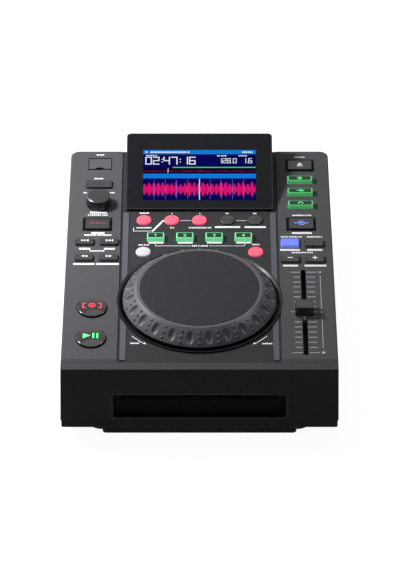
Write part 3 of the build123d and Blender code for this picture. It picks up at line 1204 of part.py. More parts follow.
with BuildPart() as rear_jacks:
    plate_y = REAR_Y - JACK_PLATE_SEAT
    with BuildSketch(Plane.XZ.offset(-plate_y)):
        with Locations((JACK_X, JACK_Z)):
            Rectangle(*JACK_PLATE)
    extrude(amount=JACK_BLOCK)
    with BuildSketch(Plane.XZ.offset(-plate_y)):
        with Locations((JACK_X, JACK_Z)):
            with GridLocations(JACK_PITCH, 0, JACK_COUNT, 1):
                Circle(JACK_R)
    extrude(amount=-(JACK_PLATE_SEAT + JACK_PROUD))
    with BuildSketch(Plane.XZ.offset(-plate_y)):
        with Locations((JACK_X, JACK_Z)):
            with GridLocations(JACK_PITCH, 0, JACK_COUNT, 1):
                Circle(JACK_COLLAR_R)
    extrude(amount=-JACK_PLATE_SEAT)
    with BuildSketch(Plane.XZ.offset(-plate_y - JACK_PLATE_SEAT - JACK_PROUD)):
        with Locations((JACK_X, JACK_Z)):
            with GridLocations(JACK_PITCH, 0, JACK_COUNT, 1):
                Circle(JACK_BORE_R)
    extrude(amount=JACK_BORE_DEPTH, mode=Mode.SUBTRACT)
    # square socket for a computer
    with BuildSketch(Plane.XZ.offset(-plate_y)):
        with Locations((PORT_X, JACK_Z)):
            Rectangle(PORT_OUTER, PORT_OUTER)
    extrude(amount=PORT_LENGTH)
    with BuildSketch(Plane.XZ.offset(-plate_y)):
        with Locations((PORT_X, JACK_Z)):
            Rectangle(PORT_INNER, PORT_INNER - 0.6)
    extrude(amount=PORT_LENGTH - 2, mode=Mode.SUBTRACT)
    with BuildSketch(Plane.XZ.offset(-plate_y + PORT_LENGTH - 2)):
        with Locations((PORT_X, JACK_Z)):
            Rectangle(*PORT_TONGUE)
    extrude(amount=-(PORT_LENGTH - 4))
save(rear_jacks, "rear_jacks")

# ---------------------------------------------------------------- feet and screws
with BuildPart() as rubber_feet:
    with BuildSketch(Plane.XY.offset(GROUND_GAP)):
        for y in FOOT_YS:
            for side in (-1, 1):
                with Locations((side * (PLINTH_HALF + FOOT_GAP), y)):
                    Circle(FOOT_R)
        with Locations((0, MIDDLE_Y)):
            Rectangle(2 * (PLINTH_HALF + FOOT_GAP), BODY_DEPTH, mode=Mode.SUBTRACT)
    extrude(amount=-GROUND_GAP)
    fillet(rubber_feet.faces().group_by(Axis.Z)[0].edges().filter_by(GeomType.CIRCLE), FOOT_EDGE_R)
save(rubber_feet, "rubber_feet")

with BuildPart() as case_screws:
    for x, y in POSTS:
        with BuildSketch(Plane.XY.offset(GROUND_GAP + 0.1)):
            with Locations((x, y)):
                Circle(SCREW_HEAD_R)
        extrude(amount=SCREW_SINK - 0.1)
        with BuildSketch(Plane.XY.offset(GROUND_GAP + SCREW_SINK)):
            with Locations((x, y)):
                Circle(SCREW_R)
        extrude(amount=SCREW_LENGTH)
save(case_screws, "case_screws")
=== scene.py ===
import json
import math
import random

import bpy
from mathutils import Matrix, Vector


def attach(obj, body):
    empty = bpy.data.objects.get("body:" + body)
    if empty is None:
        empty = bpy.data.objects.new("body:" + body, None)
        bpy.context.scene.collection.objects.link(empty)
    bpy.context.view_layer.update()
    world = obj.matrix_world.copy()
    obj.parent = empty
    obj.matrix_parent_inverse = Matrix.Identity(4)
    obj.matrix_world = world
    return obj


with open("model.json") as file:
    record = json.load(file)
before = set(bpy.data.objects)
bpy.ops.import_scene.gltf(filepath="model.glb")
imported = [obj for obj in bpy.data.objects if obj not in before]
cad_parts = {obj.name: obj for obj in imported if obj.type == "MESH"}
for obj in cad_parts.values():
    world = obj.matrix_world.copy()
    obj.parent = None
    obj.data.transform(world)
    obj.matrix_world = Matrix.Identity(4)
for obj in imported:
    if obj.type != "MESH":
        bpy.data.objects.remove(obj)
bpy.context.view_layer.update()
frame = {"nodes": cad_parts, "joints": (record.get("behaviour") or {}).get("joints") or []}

# ---------------------------------------------------------------- the panel's own coordinates
# u to the right, v up the slope from the jog wheel's axis, h out of the panel, all in millimetres
MM = 0.001
JOINTS = {joint["name"]: joint for joint in frame["joints"]}
JOG_CENTRE = Vector(JOINTS["jog_spin"]["pos_m"])
PANEL_NORMAL = Vector(JOINTS["jog_spin"]["axis"]).normalized()
UP_SLOPE = Vector(JOINTS["pitch_slide"]["axis"]).normalized()
RIGHT = Vector((1, 0, 0))
CENTRE_DROP = 1.0  # the panel's middle lies this far below its sides
DISPLAY_FRONT_V = 118.9  # foot of the display's face
DISPLAY_LIP = 1.5  # how far that foot stands out of the panel
DISPLAY_TILT = math.radians(14.8)  # of the display against the panel
PRINT_PROUD = 0.05  # print stands this far out of its surface
PRINT_SUNK = 0.04  # and reaches this far into it


class Plane:
    """A drawing plane: a point on it, and its directions across, along and out."""

    def __init__(self, origin, along, normal):
        self.origin, self.along, self.normal = origin, along, normal

    def at(self, u, v, h=0.0):
        return self.origin + MM * (u * RIGHT + v * self.along + h * self.normal)


PANEL = Plane(JOG_CENTRE, UP_SLOPE, PANEL_NORMAL)
DISPLAY = Plane(
    PANEL.at(0, DISPLAY_FRONT_V, DISPLAY_LIP),
    UP_SLOPE * math.cos(DISPLAY_TILT) + PANEL_NORMAL * math.sin(DISPLAY_TILT),
    PANEL_NORMAL * math.cos(DISPLAY_TILT) - UP_SLOPE * math.sin(DISPLAY_TILT),
)


# ---------------------------------------------------------------- materials
NOISE_RANGE = (0.3, 0.7)


def linear(level):
    """Linear light from the 0 to 255 level that a screen shows."""
    return level / 255 / 12.92 if level <= 10 else ((level / 255 + 0.055) / 1.055) ** 2.4


def srgb(red, green, blue):
    return [linear(red), linear(green), linear(blue), 1.0]


class Shader:
    """A material: fixed numbers sit on the Principled shader's sockets, and patterns are linked to them."""

    def __init__(self, name, color, roughness, specular=0.5, metallic=0.0):
        self.material = bpy.data.materials.new(name)
        self.material.use_nodes = True
        self.nodes = self.material.node_tree.nodes
        self.links = self.material.node_tree.links
        self.surface = self.nodes["Principled BSDF"]
        self.color = color
        self.set("Base Color", color)
        self.set("Roughness", roughness)
        self.set("Specular IOR Level", specular)
        self.set("Metallic", metallic)
        self.place = self.nodes.new("ShaderNodeTexCoord").outputs["Object"]

    def set(self, socket, value):
        self.surface.inputs[socket].default_value = value
        return self

    def noise(self, size_mm, detail=2.0):
        node = self.nodes.new("ShaderNodeTexNoise")
        node.inputs["Scale"].default_value = 1.0 / (size_mm * MM)
        node.inputs["Detail"].default_value = detail
        self.links.new(self.place, node.inputs["Vector"])
        return node.outputs["Fac"]

    def spread(self, factor, low, high):
        """A noise's output, which runs over about NOISE_RANGE, spread over low to high."""
        node = self.nodes.new("ShaderNodeMapRange")
        for socket, value in zip(("From Min", "From Max", "To Min", "To Max"), (*NOISE_RANGE, low, high)):
            node.inputs[socket].default_value = value
        self.links.new(factor, node.inputs["Value"])
        return node.outputs["Result"]

    def grain(self, size_mm, depth_mm):
        """Fine bumps all over."""
        bump = self.nodes.new("ShaderNodeBump")
        bump.inputs["Strength"].default_value = 1.0
        bump.inputs["Distance"].default_value = depth_mm * MM
        self.links.new(self.noise(size_mm, 3.0), bump.inputs["Height"])
        self.links.new(bump.outputs["Normal"], self.surface.inputs["Normal"])
        return self

    def mottle(self, size_mm, share):
        """The colour, a little lighter and darker in patches."""
        self.links.new(self.patches(self.color, size_mm, share), self.surface.inputs["Base Color"])
        return self

    def wander(self, size_mm, low, high):
        """Roughness that varies between two values."""
        self.links.new(self.spread(self.noise(size_mm), low, high), self.surface.inputs["Roughness"])
        return self

    def glow(self, color, strength):
        return self.set("Emission Color", color).set("Emission Strength", strength)

    def math(self, operation, first, second=None):
        node = self.nodes.new("ShaderNodeMath")
        node.operation = operation
        for socket, value in zip(node.inputs, (first, second)):
            if isinstance(value, (int, float)):
                socket.default_value = value
            elif value is not None:
                self.links.new(value, socket)
        return node.outputs["Value"]

    def vector(self, operation, first, second=None):
        """A vector node on another node's output and a fixed vector."""
        node = self.nodes.new("ShaderNodeVectorMath")
        node.operation = operation
        self.links.new(first, node.inputs[0])
        if second is not None:
            node.inputs[1].default_value = second
        return node.outputs

    def radius(self):
        """Distance from the jog wheel's axis, in metres."""
        arm = self.vector("SUBTRACT", self.place, JOG_CENTRE)["Vector"]
        across = self.vector("CROSS_PRODUCT", arm, PANEL_NORMAL)["Vector"]
        return self.vector("LENGTH", across)["Value"]

    def along(self, direction):
        """How far a place lies from the jog wheel's centre in one direction, in metres."""
        arm = self.vector("SUBTRACT", self.place, JOG_CENTRE)["Vector"]
        return self.vector("DOT_PRODUCT", arm, direction)["Value"]

    def near(self, value, centre, room):
        """1 where a distance is within room of centre, else 0."""
        return self.math("LESS_THAN", self.math("ABSOLUTE", self.math("SUBTRACT", value, centre)), room)

    def mix(self, factor, low, high):
        """A colour between two; each is a colour or another node's output."""
        node = self.nodes.new("ShaderNodeMix")
        node.data_type = "RGBA"
        for socket, value in ((node.inputs["A"], low), (node.inputs["B"], high)):
            if isinstance(value, bpy.types.NodeSocket):
                self.links.new(value, socket)
            else:
                socket.default_value = value
        self.links.new(factor, node.inputs["Factor"])
        return node.outputs["Result"]

    def patches(self, color, size_mm, share):
        """A colour, darker and lighter by a share of itself."""
        darker, lighter = ([c * (1 + sign * share) for c in color[:3]] + [1] for sign in (-1, 1))
        return self.mix(self.spread(self.noise(size_mm), 0, 1), darker, lighter)

    def two_tone(self, factor, inner, outer, size_mm=0.9, share=0.06):
        """One colour where factor is 1, the other where it's 0, both in fine patches."""
        return self.mix(factor, self.patches(outer, size_mm, share), self.patches(inner, size_mm, share))

    def paint(self, tone):
        """Another node's output as the colour."""
        self.links.new(tone, self.surface.inputs["Base Color"])
        return self


def moulded(name, color, roughness=0.55, specular=0.3, grain_depth=0.02, grain_size=0.35, share=0.1):
    shader = Shader(name, color, roughness, specular)
    shader.grain(grain_size, grain_depth).mottle(0.9, share).wander(6.0, roughness - 0.05, roughness + 0.05)
    return shader.material


def textured(name, color, specular):
    """A matt moulded surface that takes its paint afterwards."""
    return Shader(name, color, 0.6, specular).grain(0.35, 0.02).wander(6.0, 0.55, 0.65)


def polished(name, color, roughness=0.12, specular=0.4, coat=0.0):
    shader = Shader(name, color, roughness, specular).set("Coat Weight", coat).set("Coat Roughness", 0.05)
    return shader.wander(9.0, roughness * 0.8, roughness * 1.3).mottle(5.0, 0.08).material


def lit(name, body, glow, strength):
    """A translucent cap with a lamp under it."""
    shader = Shader(name, body, 0.42, 0.3).glow(glow, strength)
    return shader.grain(0.5, 0.008).mottle(3.0, 0.04).material


def metal(name, color, roughness):
    shader = Shader(name, color, roughness, 0.5, 1.0)
    return shader.grain(0.25, 0.004).wander(3.0, roughness * 0.8, roughness * 1.25).material


def ink(name, color, glow=0.0):
    shader = Shader(name, color, 0.5, 0.25)
    if glow:
        shader.glow(color, glow)
    return shader.mottle(0.6, 0.03).material


# the casing: its lowered middle has a darker finish, and its wells and pockets get painted shade, near black
CASING_TONE = srgb(80, 80, 83)
MIDDLE_TONE = srgb(54, 54, 57)
WELL_SHADE_TONE = srgb(16, 16, 17)
WELL_DEPTH = 1.15  # what lies deeper than this in the panel gets the painted shade
LEVEL_ROOM = 0.05  # the middle's own level, give or take this
WELL_HALF_U = 107.0
WELL_FRONT_V, WELL_REAR_V = -70.0, 195.0
CASING_PATCH, CASING_SHARE = 0.9, 0.14
casing = textured("casing", CASING_TONE, 0.06)
casing_height = casing.along(PANEL_NORMAL)
middle_share = casing.near(casing_height, -CENTRE_DROP * MM, LEVEL_ROOM * MM)
# painted shade: all that lies deeper than WELL_DEPTH within this box is coloured near black
well_shade = casing.math("LESS_THAN", casing_height, -WELL_DEPTH * MM)
well_shade = casing.math("MULTIPLY", well_shade, casing.near(casing.along(RIGHT), 0.0, WELL_HALF_U * MM))
well_middle, well_reach = (WELL_REAR_V + WELL_FRONT_V) / 2, (WELL_REAR_V - WELL_FRONT_V) / 2
well_shade = casing.math("MULTIPLY", well_shade, casing.near(casing.along(UP_SLOPE), well_middle * MM, well_reach * MM))
panel_tone = casing.two_tone(middle_share, MIDDLE_TONE, CASING_TONE, CASING_PATCH, CASING_SHARE)
casing.paint(casing.mix(well_shade, panel_tone, WELL_SHADE_TONE))
CASING = casing.material

# the recess is near black, and the front face of its bezel gets a painted highlight, lighter
RECESS_TONE = srgb(15, 15, 19)
BEZEL_HIGHLIGHT_TONE = srgb(72, 72, 78)
BEZEL_HIGHLIGHT_DEPTH = 0.5
bezel = frame["nodes"]["slot_bezel"]
bezel_front = min((bezel.matrix_world @ vertex.co).y for vertex in bezel.data.vertices)
recess = textured("recess", RECESS_TONE, 0.04)
highlight_end = bezel_front + BEZEL_HIGHLIGHT_DEPTH * MM - JOG_CENTRE.y
# painted highlight on the bezel's front face
bezel_highlight = recess.math("LESS_THAN", recess.along((0, 1, 0)), highlight_end)
recess.paint(recess.two_tone(bezel_highlight, BEZEL_HIGHLIGHT_TONE, RECESS_TONE))
RECESS_AND_HIGHLIGHT = recess.material

TRAY = moulded("tray", srgb(26, 26, 28), 0.6, 0.1)
GLOSS = polished("gloss_black", srgb(12, 12, 14), 0.34, 0.22)
CHANNEL = moulded("fader_black", srgb(10, 10, 11), 0.6, 0.1)
felt = Shader("felt", srgb(18, 18, 18), 0.95, 0.1).set("Sheen Weight", 0.3)
FELT = felt.grain(0.25, 0.12).mottle(0.5, 0.3).material
TRIM = moulded("trim", srgb(84, 87, 94), 0.45, 0.15, 0.006, 0.3, 0.05)
DISPLAY_FRAME = moulded("display_frame", srgb(34, 34, 37), 0.45, 0.15, 0.01)
WINDOW = polished("window", srgb(22, 23, 26), 0.3, 0.05)
LCD = polished("lcd", srgb(10, 14, 40), 0.2)
TOUCH_PLATE = moulded("touch_plate", srgb(45, 44, 48), 0.62, 0.1, 0.03, 0.4, 0.16)
STEEL = metal("steel", srgb(185, 186, 190), 0.38)
BRONZE = metal("bronze", srgb(170, 130, 80), 0.4)
KEY = moulded("key", srgb(42, 42, 46), 0.36, 0.4, 0.006, 0.3, 0.05)
DOME = moulded("dome_key", srgb(34, 34, 37), 0.28, 0.5, 0.003, 0.3, 0.05)
BIG_BUTTON = polished("big_button", srgb(20, 20, 23), 0.08, 0.34, 0.4)
KNOB = moulded("knob", srgb(28, 28, 31), 0.32, 0.5, 0.006, 0.4, 0.08)
DOOR = moulded("door", srgb(82, 82, 85), 0.5, 0.15, 0.01)
BOARD = moulded("board", srgb(30, 92, 52), 0.35, 0.5, 0.004)
REAR_PLASTIC = moulded("rear_plastic", srgb(24, 24, 25), 0.45, 0.4, 0.008)
JACK_METAL = metal("jack_metal", srgb(200, 200, 196), 0.22)
RUBBER = moulded("rubber", srgb(22, 22, 23), 0.8, 0.2, 0.02, 0.5)
SCREW = metal("screw", srgb(70, 70, 72), 0.35)
LIT_PINK = lit("lit_pink", srgb(220, 86, 104), srgb(250, 90, 116), 0.5)
LIT_GREEN = lit("lit_green", srgb(104, 196, 138), srgb(124, 228, 160), 0.55)
LIT_SIDE_GREEN = lit("lit_side_green", srgb(68, 150, 90), srgb(84, 190, 112), 0.5)
LIT_WHITE = lit("lit_white", srgb(186, 187, 190), srgb(226, 228, 232), 0.2)
LIT_BLUE = lit("lit_blue", srgb(84, 98, 200), srgb(112, 132, 238), 0.6)

# the grip's sloping skirt, and the slightly lighter rim inside it
RIM_RADIUS = 51.9
RIM_TONE = srgb(84, 84, 88)
SKIRT_TONE = srgb(78, 80, 86)
grip = Shader("grip", SKIRT_TONE, 0.42, 0.25).grain(0.5, 0.01)
rim = grip.math("LESS_THAN", grip.radius(), RIM_RADIUS * MM)
grip.paint(grip.two_tone(rim, RIM_TONE, SKIRT_TONE))
GRIP = grip.material

# white and grey print, each with a faint glow painted in as light, though no lamp lies under it
WHITE_INK_WITH_GLOW = ink("white_ink_with_glow", srgb(232, 232, 234), 0.12)
GREY_INK_WITH_GLOW = ink("grey_ink_with_glow", srgb(186, 187, 190), 0.05)
RED_GLOW = ink("red_glow", srgb(226, 60, 78), 0.8)
GREEN_GLOW = ink("green_glow", srgb(92, 226, 132), 0.9)
DIM_RED = ink("dim_red", srgb(128, 58, 62), 0.25)
BLUE_GLOW = ink("blue_glow", srgb(120, 140, 235), 0.7)
DARK_INLAY = ink("dark_inlay", srgb(16, 38, 26))
# painted highlight for the lit edge round the front recess
EDGE_HIGHLIGHT = ink("painted_edge_highlight", srgb(60, 60, 66))

DARK_KEYS = (
    "back", "track_previous", "track_next", "search_back", "search_forward", "bpm_tap",
    "pitch_minus", "pitch_plus", "eject", "jog_mode", "reverse",
)
FINISHES = {
    "top_cover": CASING, "bottom_tray": TRAY, "slot_bezel": RECESS_AND_HIGHLIGHT, "slot_felt": FELT, "trim_strips": TRIM,
    "display_housing": DISPLAY_FRAME, "display_window": WINDOW, "lcd_module": LCD, "jog_surround": GLOSS,
    "jog_ring": GRIP, "jog_plate": TOUCH_PLATE, "jog_hub": STEEL, "jog_bearing": BRONZE, "browse_knob": KNOB,
    "browse_rotor": STEEL, "browse_encoder": STEEL, "fader_channel": CHANNEL, "fader_carriage": STEEL,
    "fader_cap": KNOB, "usb_door": DOOR, "usb_socket": STEEL, "drive_chassis": STEEL, "disc_hub": KNOB,
    "loading_roller": RUBBER, "button_boards": BOARD, "main_board": BOARD, "power_supply": BOARD,
    "power_inlet": REAR_PLASTIC, "power_rocker": REAR_PLASTIC, "rear_jacks": JACK_METAL,
    "rubber_feet": RUBBER, "case_screws": SCREW, "shift": LIT_WHITE, "key_lock": LIT_BLUE,
    "cue": BIG_BUTTON, "play_pause": BIG_BUTTON, "loop_half": DOME, "loop_double": DOME,
    **{name: KEY for name in DARK_KEYS},
    **{name: LIT_PINK for name in ("auto_loop", "loop_in", "loop_out", "slip")},
    **{name: LIT_GREEN for name in ("hot_cue_1", "hot_cue_2", "hot_cue_3", "hot_cue_4")},
    **{name: LIT_SIDE_GREEN for name in ("source_disc", "source_usb", "source_midi")},
}
for node_name, node_object in frame["nodes"].items():
    node_object.data.materials.clear()
    node_object.data.materials.append(FINISHES[node_name])


# ---------------------------------------------------------------- printed and inlaid artwork
MARK_WIDTHS = (0.9, 1.5)  # marks of a caption
LEAST_MARK = 0.6
MARK_GAP = 0.38
WORD_GAP = 0.9
WORD_CHANCE = 0.12  # how often a gap is a word's
CORNER_STEPS = 5
DISC_STEPS = 36


class Artwork:
    """Thin flat shapes on a plane, joined into one piece. Sizes are in millimetres."""

    def __init__(self, plane, height, sunk=PRINT_SUNK, dome=None):
        self.plane, self.height, self.sunk, self.dome = plane, height, sunk, dome
        self.points, self.faces = [], []

    def fall(self, u, v):
        """How far a domed top has dropped here: dome is its middle and its sphere's radius."""
        if self.dome is None:
            return 0.0
        return ((u - self.dome[0]) ** 2 + (v - self.dome[1]) ** 2) / (2 * self.dome[2])

    def outline(self, corners):
        """A closed shape, given anticlockwise as seen from outside."""
        start, count = len(self.points), len(corners)
        for h in (self.height, self.height - PRINT_PROUD - self.sunk):
            self.points += [self.plane.at(u, v, h - self.fall(u, v)) for u, v in corners]
        self.faces.append([start + i for i in range(count)])
        self.faces.append([start + count + i for i in reversed(range(count))])
        for i in range(count):
            j = (i + 1) % count
            self.faces.append([start + i, start + count + i, start + count + j, start + j])
        return self

    def box(self, u, v, width, length):
        a, b = width / 2, length / 2
        return self.outline([(u - a, v - b), (u + a, v - b), (u + a, v + b), (u - a, v + b)])

    def rounded(self, u, v, width, length, corner):
        """A box with round corners."""
        points = []
        for sign_u, sign_v, start in ((1, -1, -90), (1, 1, 0), (-1, 1, 90), (-1, -1, 180)):
            cu, cv = u + sign_u * (width / 2 - corner), v + sign_v * (length / 2 - corner)
            for step in range(CORNER_STEPS + 1):
                angle = math.radians(start + 90 * step / CORNER_STEPS)
                points.append((cu + corner * math.cos(angle), cv + corner * math.sin(angle)))
        return self.outline(points)

    def disc(self, u, v, radius):
        turn = 2 * math.pi / DISC_STEPS
        return self.outline([
            (u + radius * math.cos(i * turn), v + radius * math.sin(i * turn)) for i in range(DISC_STEPS)
        ])

    def arc(self, u, v, radius, width, start, end, steps=32):
        """A stroke along a circle between two angles in degrees; a whole turn makes a ring."""
        angles = [math.radians(start + (end - start) * i / steps) for i in range(steps + 1)]
        for one, two in zip(angles, angles[1:]):
            self.outline([
                (u + r * math.cos(angle), v + r * math.sin(angle))
                for r, angle in (
                    (radius - width / 2, one), (radius + width / 2, one),
                    (radius + width / 2, two), (radius - width / 2, two),
                )
            ])
        return self

    def line(self, points, width):
        """A stroke through points, with square ends and joints."""
        for (u1, v1), (u2, v2) in zip(points, points[1:]):
            length = math.hypot(u2 - u1, v2 - v1)
            du, dv = (u2 - u1) / length * width / 2, (v2 - v1) / length * width / 2
            self.outline([
                (u1 - du + dv, v1 - dv - du), (u2 + du + dv, v2 + dv - du),
                (u2 + du - dv, v2 + dv + du), (u1 - du - dv, v1 - dv + du),
            ])
        return self

    def triangle(self, u, v, width, length, heading):
        """An arrowhead: heading 0 points right, 90 up the slope."""
        turn = math.radians(heading)
        corners = [(-width / 2, -length / 2), (width / 2, 0), (-width / 2, length / 2)]
        return self.outline([
            (u + a * math.cos(turn) - b * math.sin(turn), v + a * math.sin(turn) + b * math.cos(turn))
            for a, b in corners
        ])

    def caption(self, u, v, width, height, seed):
        """A line of small marks where a printed word would be."""
        draw = random.Random(seed)
        left, end = u - width / 2, u + width / 2
        while left < end - LEAST_MARK:
            mark = min(draw.uniform(*MARK_WIDTHS), end - left)
            self.box(left + mark / 2, v, mark, height)
            left += mark + (WORD_GAP if draw.random() < WORD_CHANCE else MARK_GAP)
        return self

    def make(self, name, material, body):
        mesh = bpy.data.meshes.new(name)
        mesh.from_pydata(self.points, [], self.faces)
        mesh.update()
        piece = bpy.data.objects.new(name, mesh)
        bpy.context.scene.collection.objects.link(piece)
        mesh.materials.append(material)
        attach(piece, body)


# ---------------------------------------------------------------- legends on the panel
LABEL = 1.7  # height of a caption
BAR = 2.3  # height of a bar
sides = Artwork(PANEL, PRINT_PROUD)
for number, (u, v, width) in enumerate((
    (-84.4, 196.9, 6.4), (-84.6, 163.2, 8.8), (-95.6, 143.4, 4.0), (-73.4, 143.4, 3.8), (-84.8, 112.6, 16.6),
    (-84.2, 85.3, 22.8), (-84.3, 64.0, 12.3), (85.4, 193.8, 9.4), (85.3, 112.1, 16.0), (76.0, 82.9, 17.4),
    (95.2, 82.9, 12.8), (84.8, 61.8, 17.8),
)):
    sides.caption(u, v, width, LABEL, number)
for u, v, width in (
    (-84.4, 115.9, 14.2), (-84.3, 87.9, 11.0), (-94.6, 66.9, 9.2), (-74.3, 66.9, 9.0), (-94.8, 46.6, 17.4),
    (-75.4, 46.6, 18.6), (84.8, 88.0, 16.6), (74.6, 65.3, 16.4), (94.9, 65.3, 12.4), (74.6, 44.4, 12.2),
    (94.9, 44.4, 17.8),
):
    sides.box(u, v, width, BAR)
sides.make("side_legends", WHITE_INK_WITH_GLOW, "chassis")

LIFT = 1.1  # of all rows of legends in the middle
LOOP_V = 106.2  # row of the loop buttons
PAD_PITCH = 24.2
MIDDLE_SEED = 40
middle = Artwork(PANEL, PRINT_PROUD - CENTRE_DROP)
for number, (u, v, width) in enumerate((
    (-46.0, 115.4, 8.0), (-46.0, 95.4, 12.6), (-22.6, 95.4, 3.6), (0.6, 95.4, 19.0), (0.5, 70.9, 13.6),
    (-46.0, 72.2, 8.8), (46.6, 72.6, 6.4), (-51.4, -55.2, 7.4), (54.0, -55.6, 8.0),
)):
    middle.caption(u, v + LIFT, width, LABEL, MIDDLE_SEED + number)
for u, width in ((23.3, 21.0), (46.3, 17.6)):
    middle.box(u, 96.3 + LIFT, width, BAR)
for number in range(4):
    middle.box((number - 1.5) * PAD_PITCH + 0.3, 75.3 + LIFT, 12.4, BAR)
middle.line([(-54.8, 95.4 + LIFT), (-54.8, 90.9 + LIFT), (-38.6, 90.9 + LIFT)], 0.55)
middle.line([(-38.9, 91.1 + LIFT), (-30.6, 104.4 + LIFT), (-29.6, 104.9 + LIFT)], 1.7)
middle.line([(-16.2, LOOP_V), (-7.0, LOOP_V)], 0.45).line([(29.8, LOOP_V), (39.6, LOOP_V)], 0.45)
middle.line([(-36.4, 72.8 + LIFT), (-36.1, 70.9 + LIFT), (-7.6, 70.9 + LIFT)], 0.5)
middle.line([(37.4, 72.8 + LIFT), (37.1, 70.9 + LIFT), (8.4, 70.9 + LIFT)], 0.5)
ARROW_RADIUS = 70.2
for start, end, tip_u, heading in ((219.8, 231.2, -43.4, -36), (308.8, 320.2, 43.4, 216)):
    middle.arc(0, 0, ARROW_RADIUS, 0.6, start, end)
    middle.triangle(tip_u, -54.7, 2.8, 2.4, heading)
middle.triangle(-22.9, 115.0 + LIFT, 1.6, 1.6, 90).triangle(0.2, 115.0 + LIFT, 1.6, 1.6, 90)
middle.caption(23.2, 115.0 + LIFT, 3.0, LABEL, 60).caption(46.4, 115.0 + LIFT, 3.4, LABEL, 61)
middle.make("middle_legends", WHITE_INK_WITH_GLOW, "chassis")

FADER_U = 84.6
FADER_V = -15.6
TICK_PITCH = 6.42
TICKS = 8  # on each side of the middle
TICK_START = 2.7
TICK_WIDTH = 0.6
SHORT_TICK, LONG_TICK, RIGHT_TICK = 8.3, 10.7, 9.4
scale = Artwork(PANEL, PRINT_PROUD)
for step in range(-TICKS, TICKS + 1):
    reach = LONG_TICK if step in (-TICKS, 0, TICKS) else SHORT_TICK
    for side, far in ((-1, reach), (1, max(reach, RIGHT_TICK))):
        tick_u = FADER_U + side * (TICK_START + far) / 2
        scale.box(tick_u, FADER_V + step * TICK_PITCH, far - TICK_START, TICK_WIDTH)
RANGE_U = 98.4  # the line beside the scale, with a ring at its middle
SCALE_HALF = TICKS * TICK_PITCH
DIAMOND = 1.7
scale.box(RANGE_U, FADER_V + 25.4, 0.4, 43.0).box(RANGE_U, FADER_V - 25.0, 0.4, 41.0)
scale.box(RANGE_U, FADER_V + SCALE_HALF, 2.4, 1.3).arc(RANGE_U, FADER_V, 1.3, 0.6, 0, 360)
scale.outline([
    (RANGE_U + DIAMOND * a, FADER_V - SCALE_HALF + DIAMOND * b) for a, b in ((0, -1), (1, 0), (0, 1), (-1, 0))
])
scale.make("fader_scale", GREY_INK_WITH_GLOW, "chassis")

# a painted highlight: the thin lighter line round the front recess, on the front wall, which leans back a
# little
OPENING_HALF = 69.4
OPENING_LENGTH = 23.1
OPENING_CORNER = 2.2
OPENING_FOOT = Vector((0, -148.69, 19.05))
WALL_LEAN = 0.52  # over the opening's length
EDGE_WIDTH = 0.6
WALL_UP = Vector((0, WALL_LEAN, OPENING_LENGTH)).normalized()
FRONT_WALL = Plane(MM * OPENING_FOOT, WALL_UP, RIGHT.cross(WALL_UP))
edge = Artwork(FRONT_WALL, PRINT_PROUD)
edge_u, edge_v = OPENING_HALF + EDGE_WIDTH / 2, -EDGE_WIDTH / 2
straight_u = OPENING_HALF - OPENING_CORNER
low_v, high_v = OPENING_CORNER, OPENING_LENGTH - OPENING_CORNER
for side in (-1, 1):
    edge.line([(side * edge_u, low_v), (side * edge_u, high_v)], EDGE_WIDTH)
edge.line([(-straight_u, edge_v), (straight_u, edge_v)], EDGE_WIDTH)
edge.line([(-straight_u, OPENING_LENGTH - edge_v), (straight_u, OPENING_LENGTH - edge_v)], EDGE_WIDTH)
for u, v, start in (
    (straight_u, high_v, 0), (-straight_u, high_v, 90), (-straight_u, low_v, 180), (straight_u, low_v, 270),
):
    edge.arc(u, v, OPENING_CORNER + EDGE_WIDTH / 2, EDGE_WIDTH, start, start + 90, 8)
edge.make("recess_edge_highlight", EDGE_HIGHLIGHT, "chassis")

# ---------------------------------------------------------------- marks on the keys
KEY_TOP = 2.2  # heights of the caps over the panel's sides
POCKET_TOP = 1.5
LIT_TOP = 3.5
LIT_TOP_LOWER = LIT_TOP - CENTRE_DROP
SKIP_STEP = 1.35
SKIP_SETBACK = 0.4  # leaves room for the bar
SKIP_HEIGHT = 2.9


def skip_arrows(body, u, v, direction, bar):
    """Two arrowheads, with a bar at their tips for a whole-track skip."""
    mark = Artwork(PANEL, KEY_TOP + PRINT_PROUD)
    heading = 0 if direction > 0 else 180
    setback = SKIP_SETBACK if bar else 0
    for step in (-1, 1):
        mark.triangle(u + direction * (step * SKIP_STEP - setback), v, 2.5, SKIP_HEIGHT, heading)
    if bar:
        mark.box(u + direction * 2 * SKIP_STEP, v, 0.7, SKIP_HEIGHT)
    mark.make(body + "_mark", WHITE_INK_WITH_GLOW, body)


SEARCH_KEYS_U = (-94.6, -74.4)
TRACK_V, SEARCH_V, PITCH_V = 75.4, 54.4, 52.4
skip_arrows("track_previous", SEARCH_KEYS_U[0], TRACK_V, -1, True)
skip_arrows("track_next", SEARCH_KEYS_U[1], TRACK_V, 1, True)
skip_arrows("search_back", SEARCH_KEYS_U[0], SEARCH_V, -1, False)
skip_arrows("search_forward", SEARCH_KEYS_U[1], SEARCH_V, 1, False)
minus = Artwork(PANEL, KEY_TOP + PRINT_PROUD).box(74.5, PITCH_V, 4.4, 1.0)
minus.make("pitch_minus_mark", WHITE_INK_WITH_GLOW, "pitch_minus")
plus = Artwork(PANEL, KEY_TOP + PRINT_PROUD).box(94.7, PITCH_V, 4.2, 1.0).box(94.7, PITCH_V, 1.0, 4.4)
plus.make("pitch_plus_mark", WHITE_INK_WITH_GLOW, "pitch_plus")
EJECT_U = 85.1
eject = Artwork(PANEL, POCKET_TOP + PRINT_PROUD)
eject.triangle(EJECT_U, 182.4, 2.8, 4.8, 90).box(EJECT_U, 179.4, 4.8, 1.0)
eject.make("eject_mark", WHITE_INK_WITH_GLOW, "eject")
REVERSE_V = 99.8
reverse = Artwork(PANEL, POCKET_TOP + PRINT_PROUD)
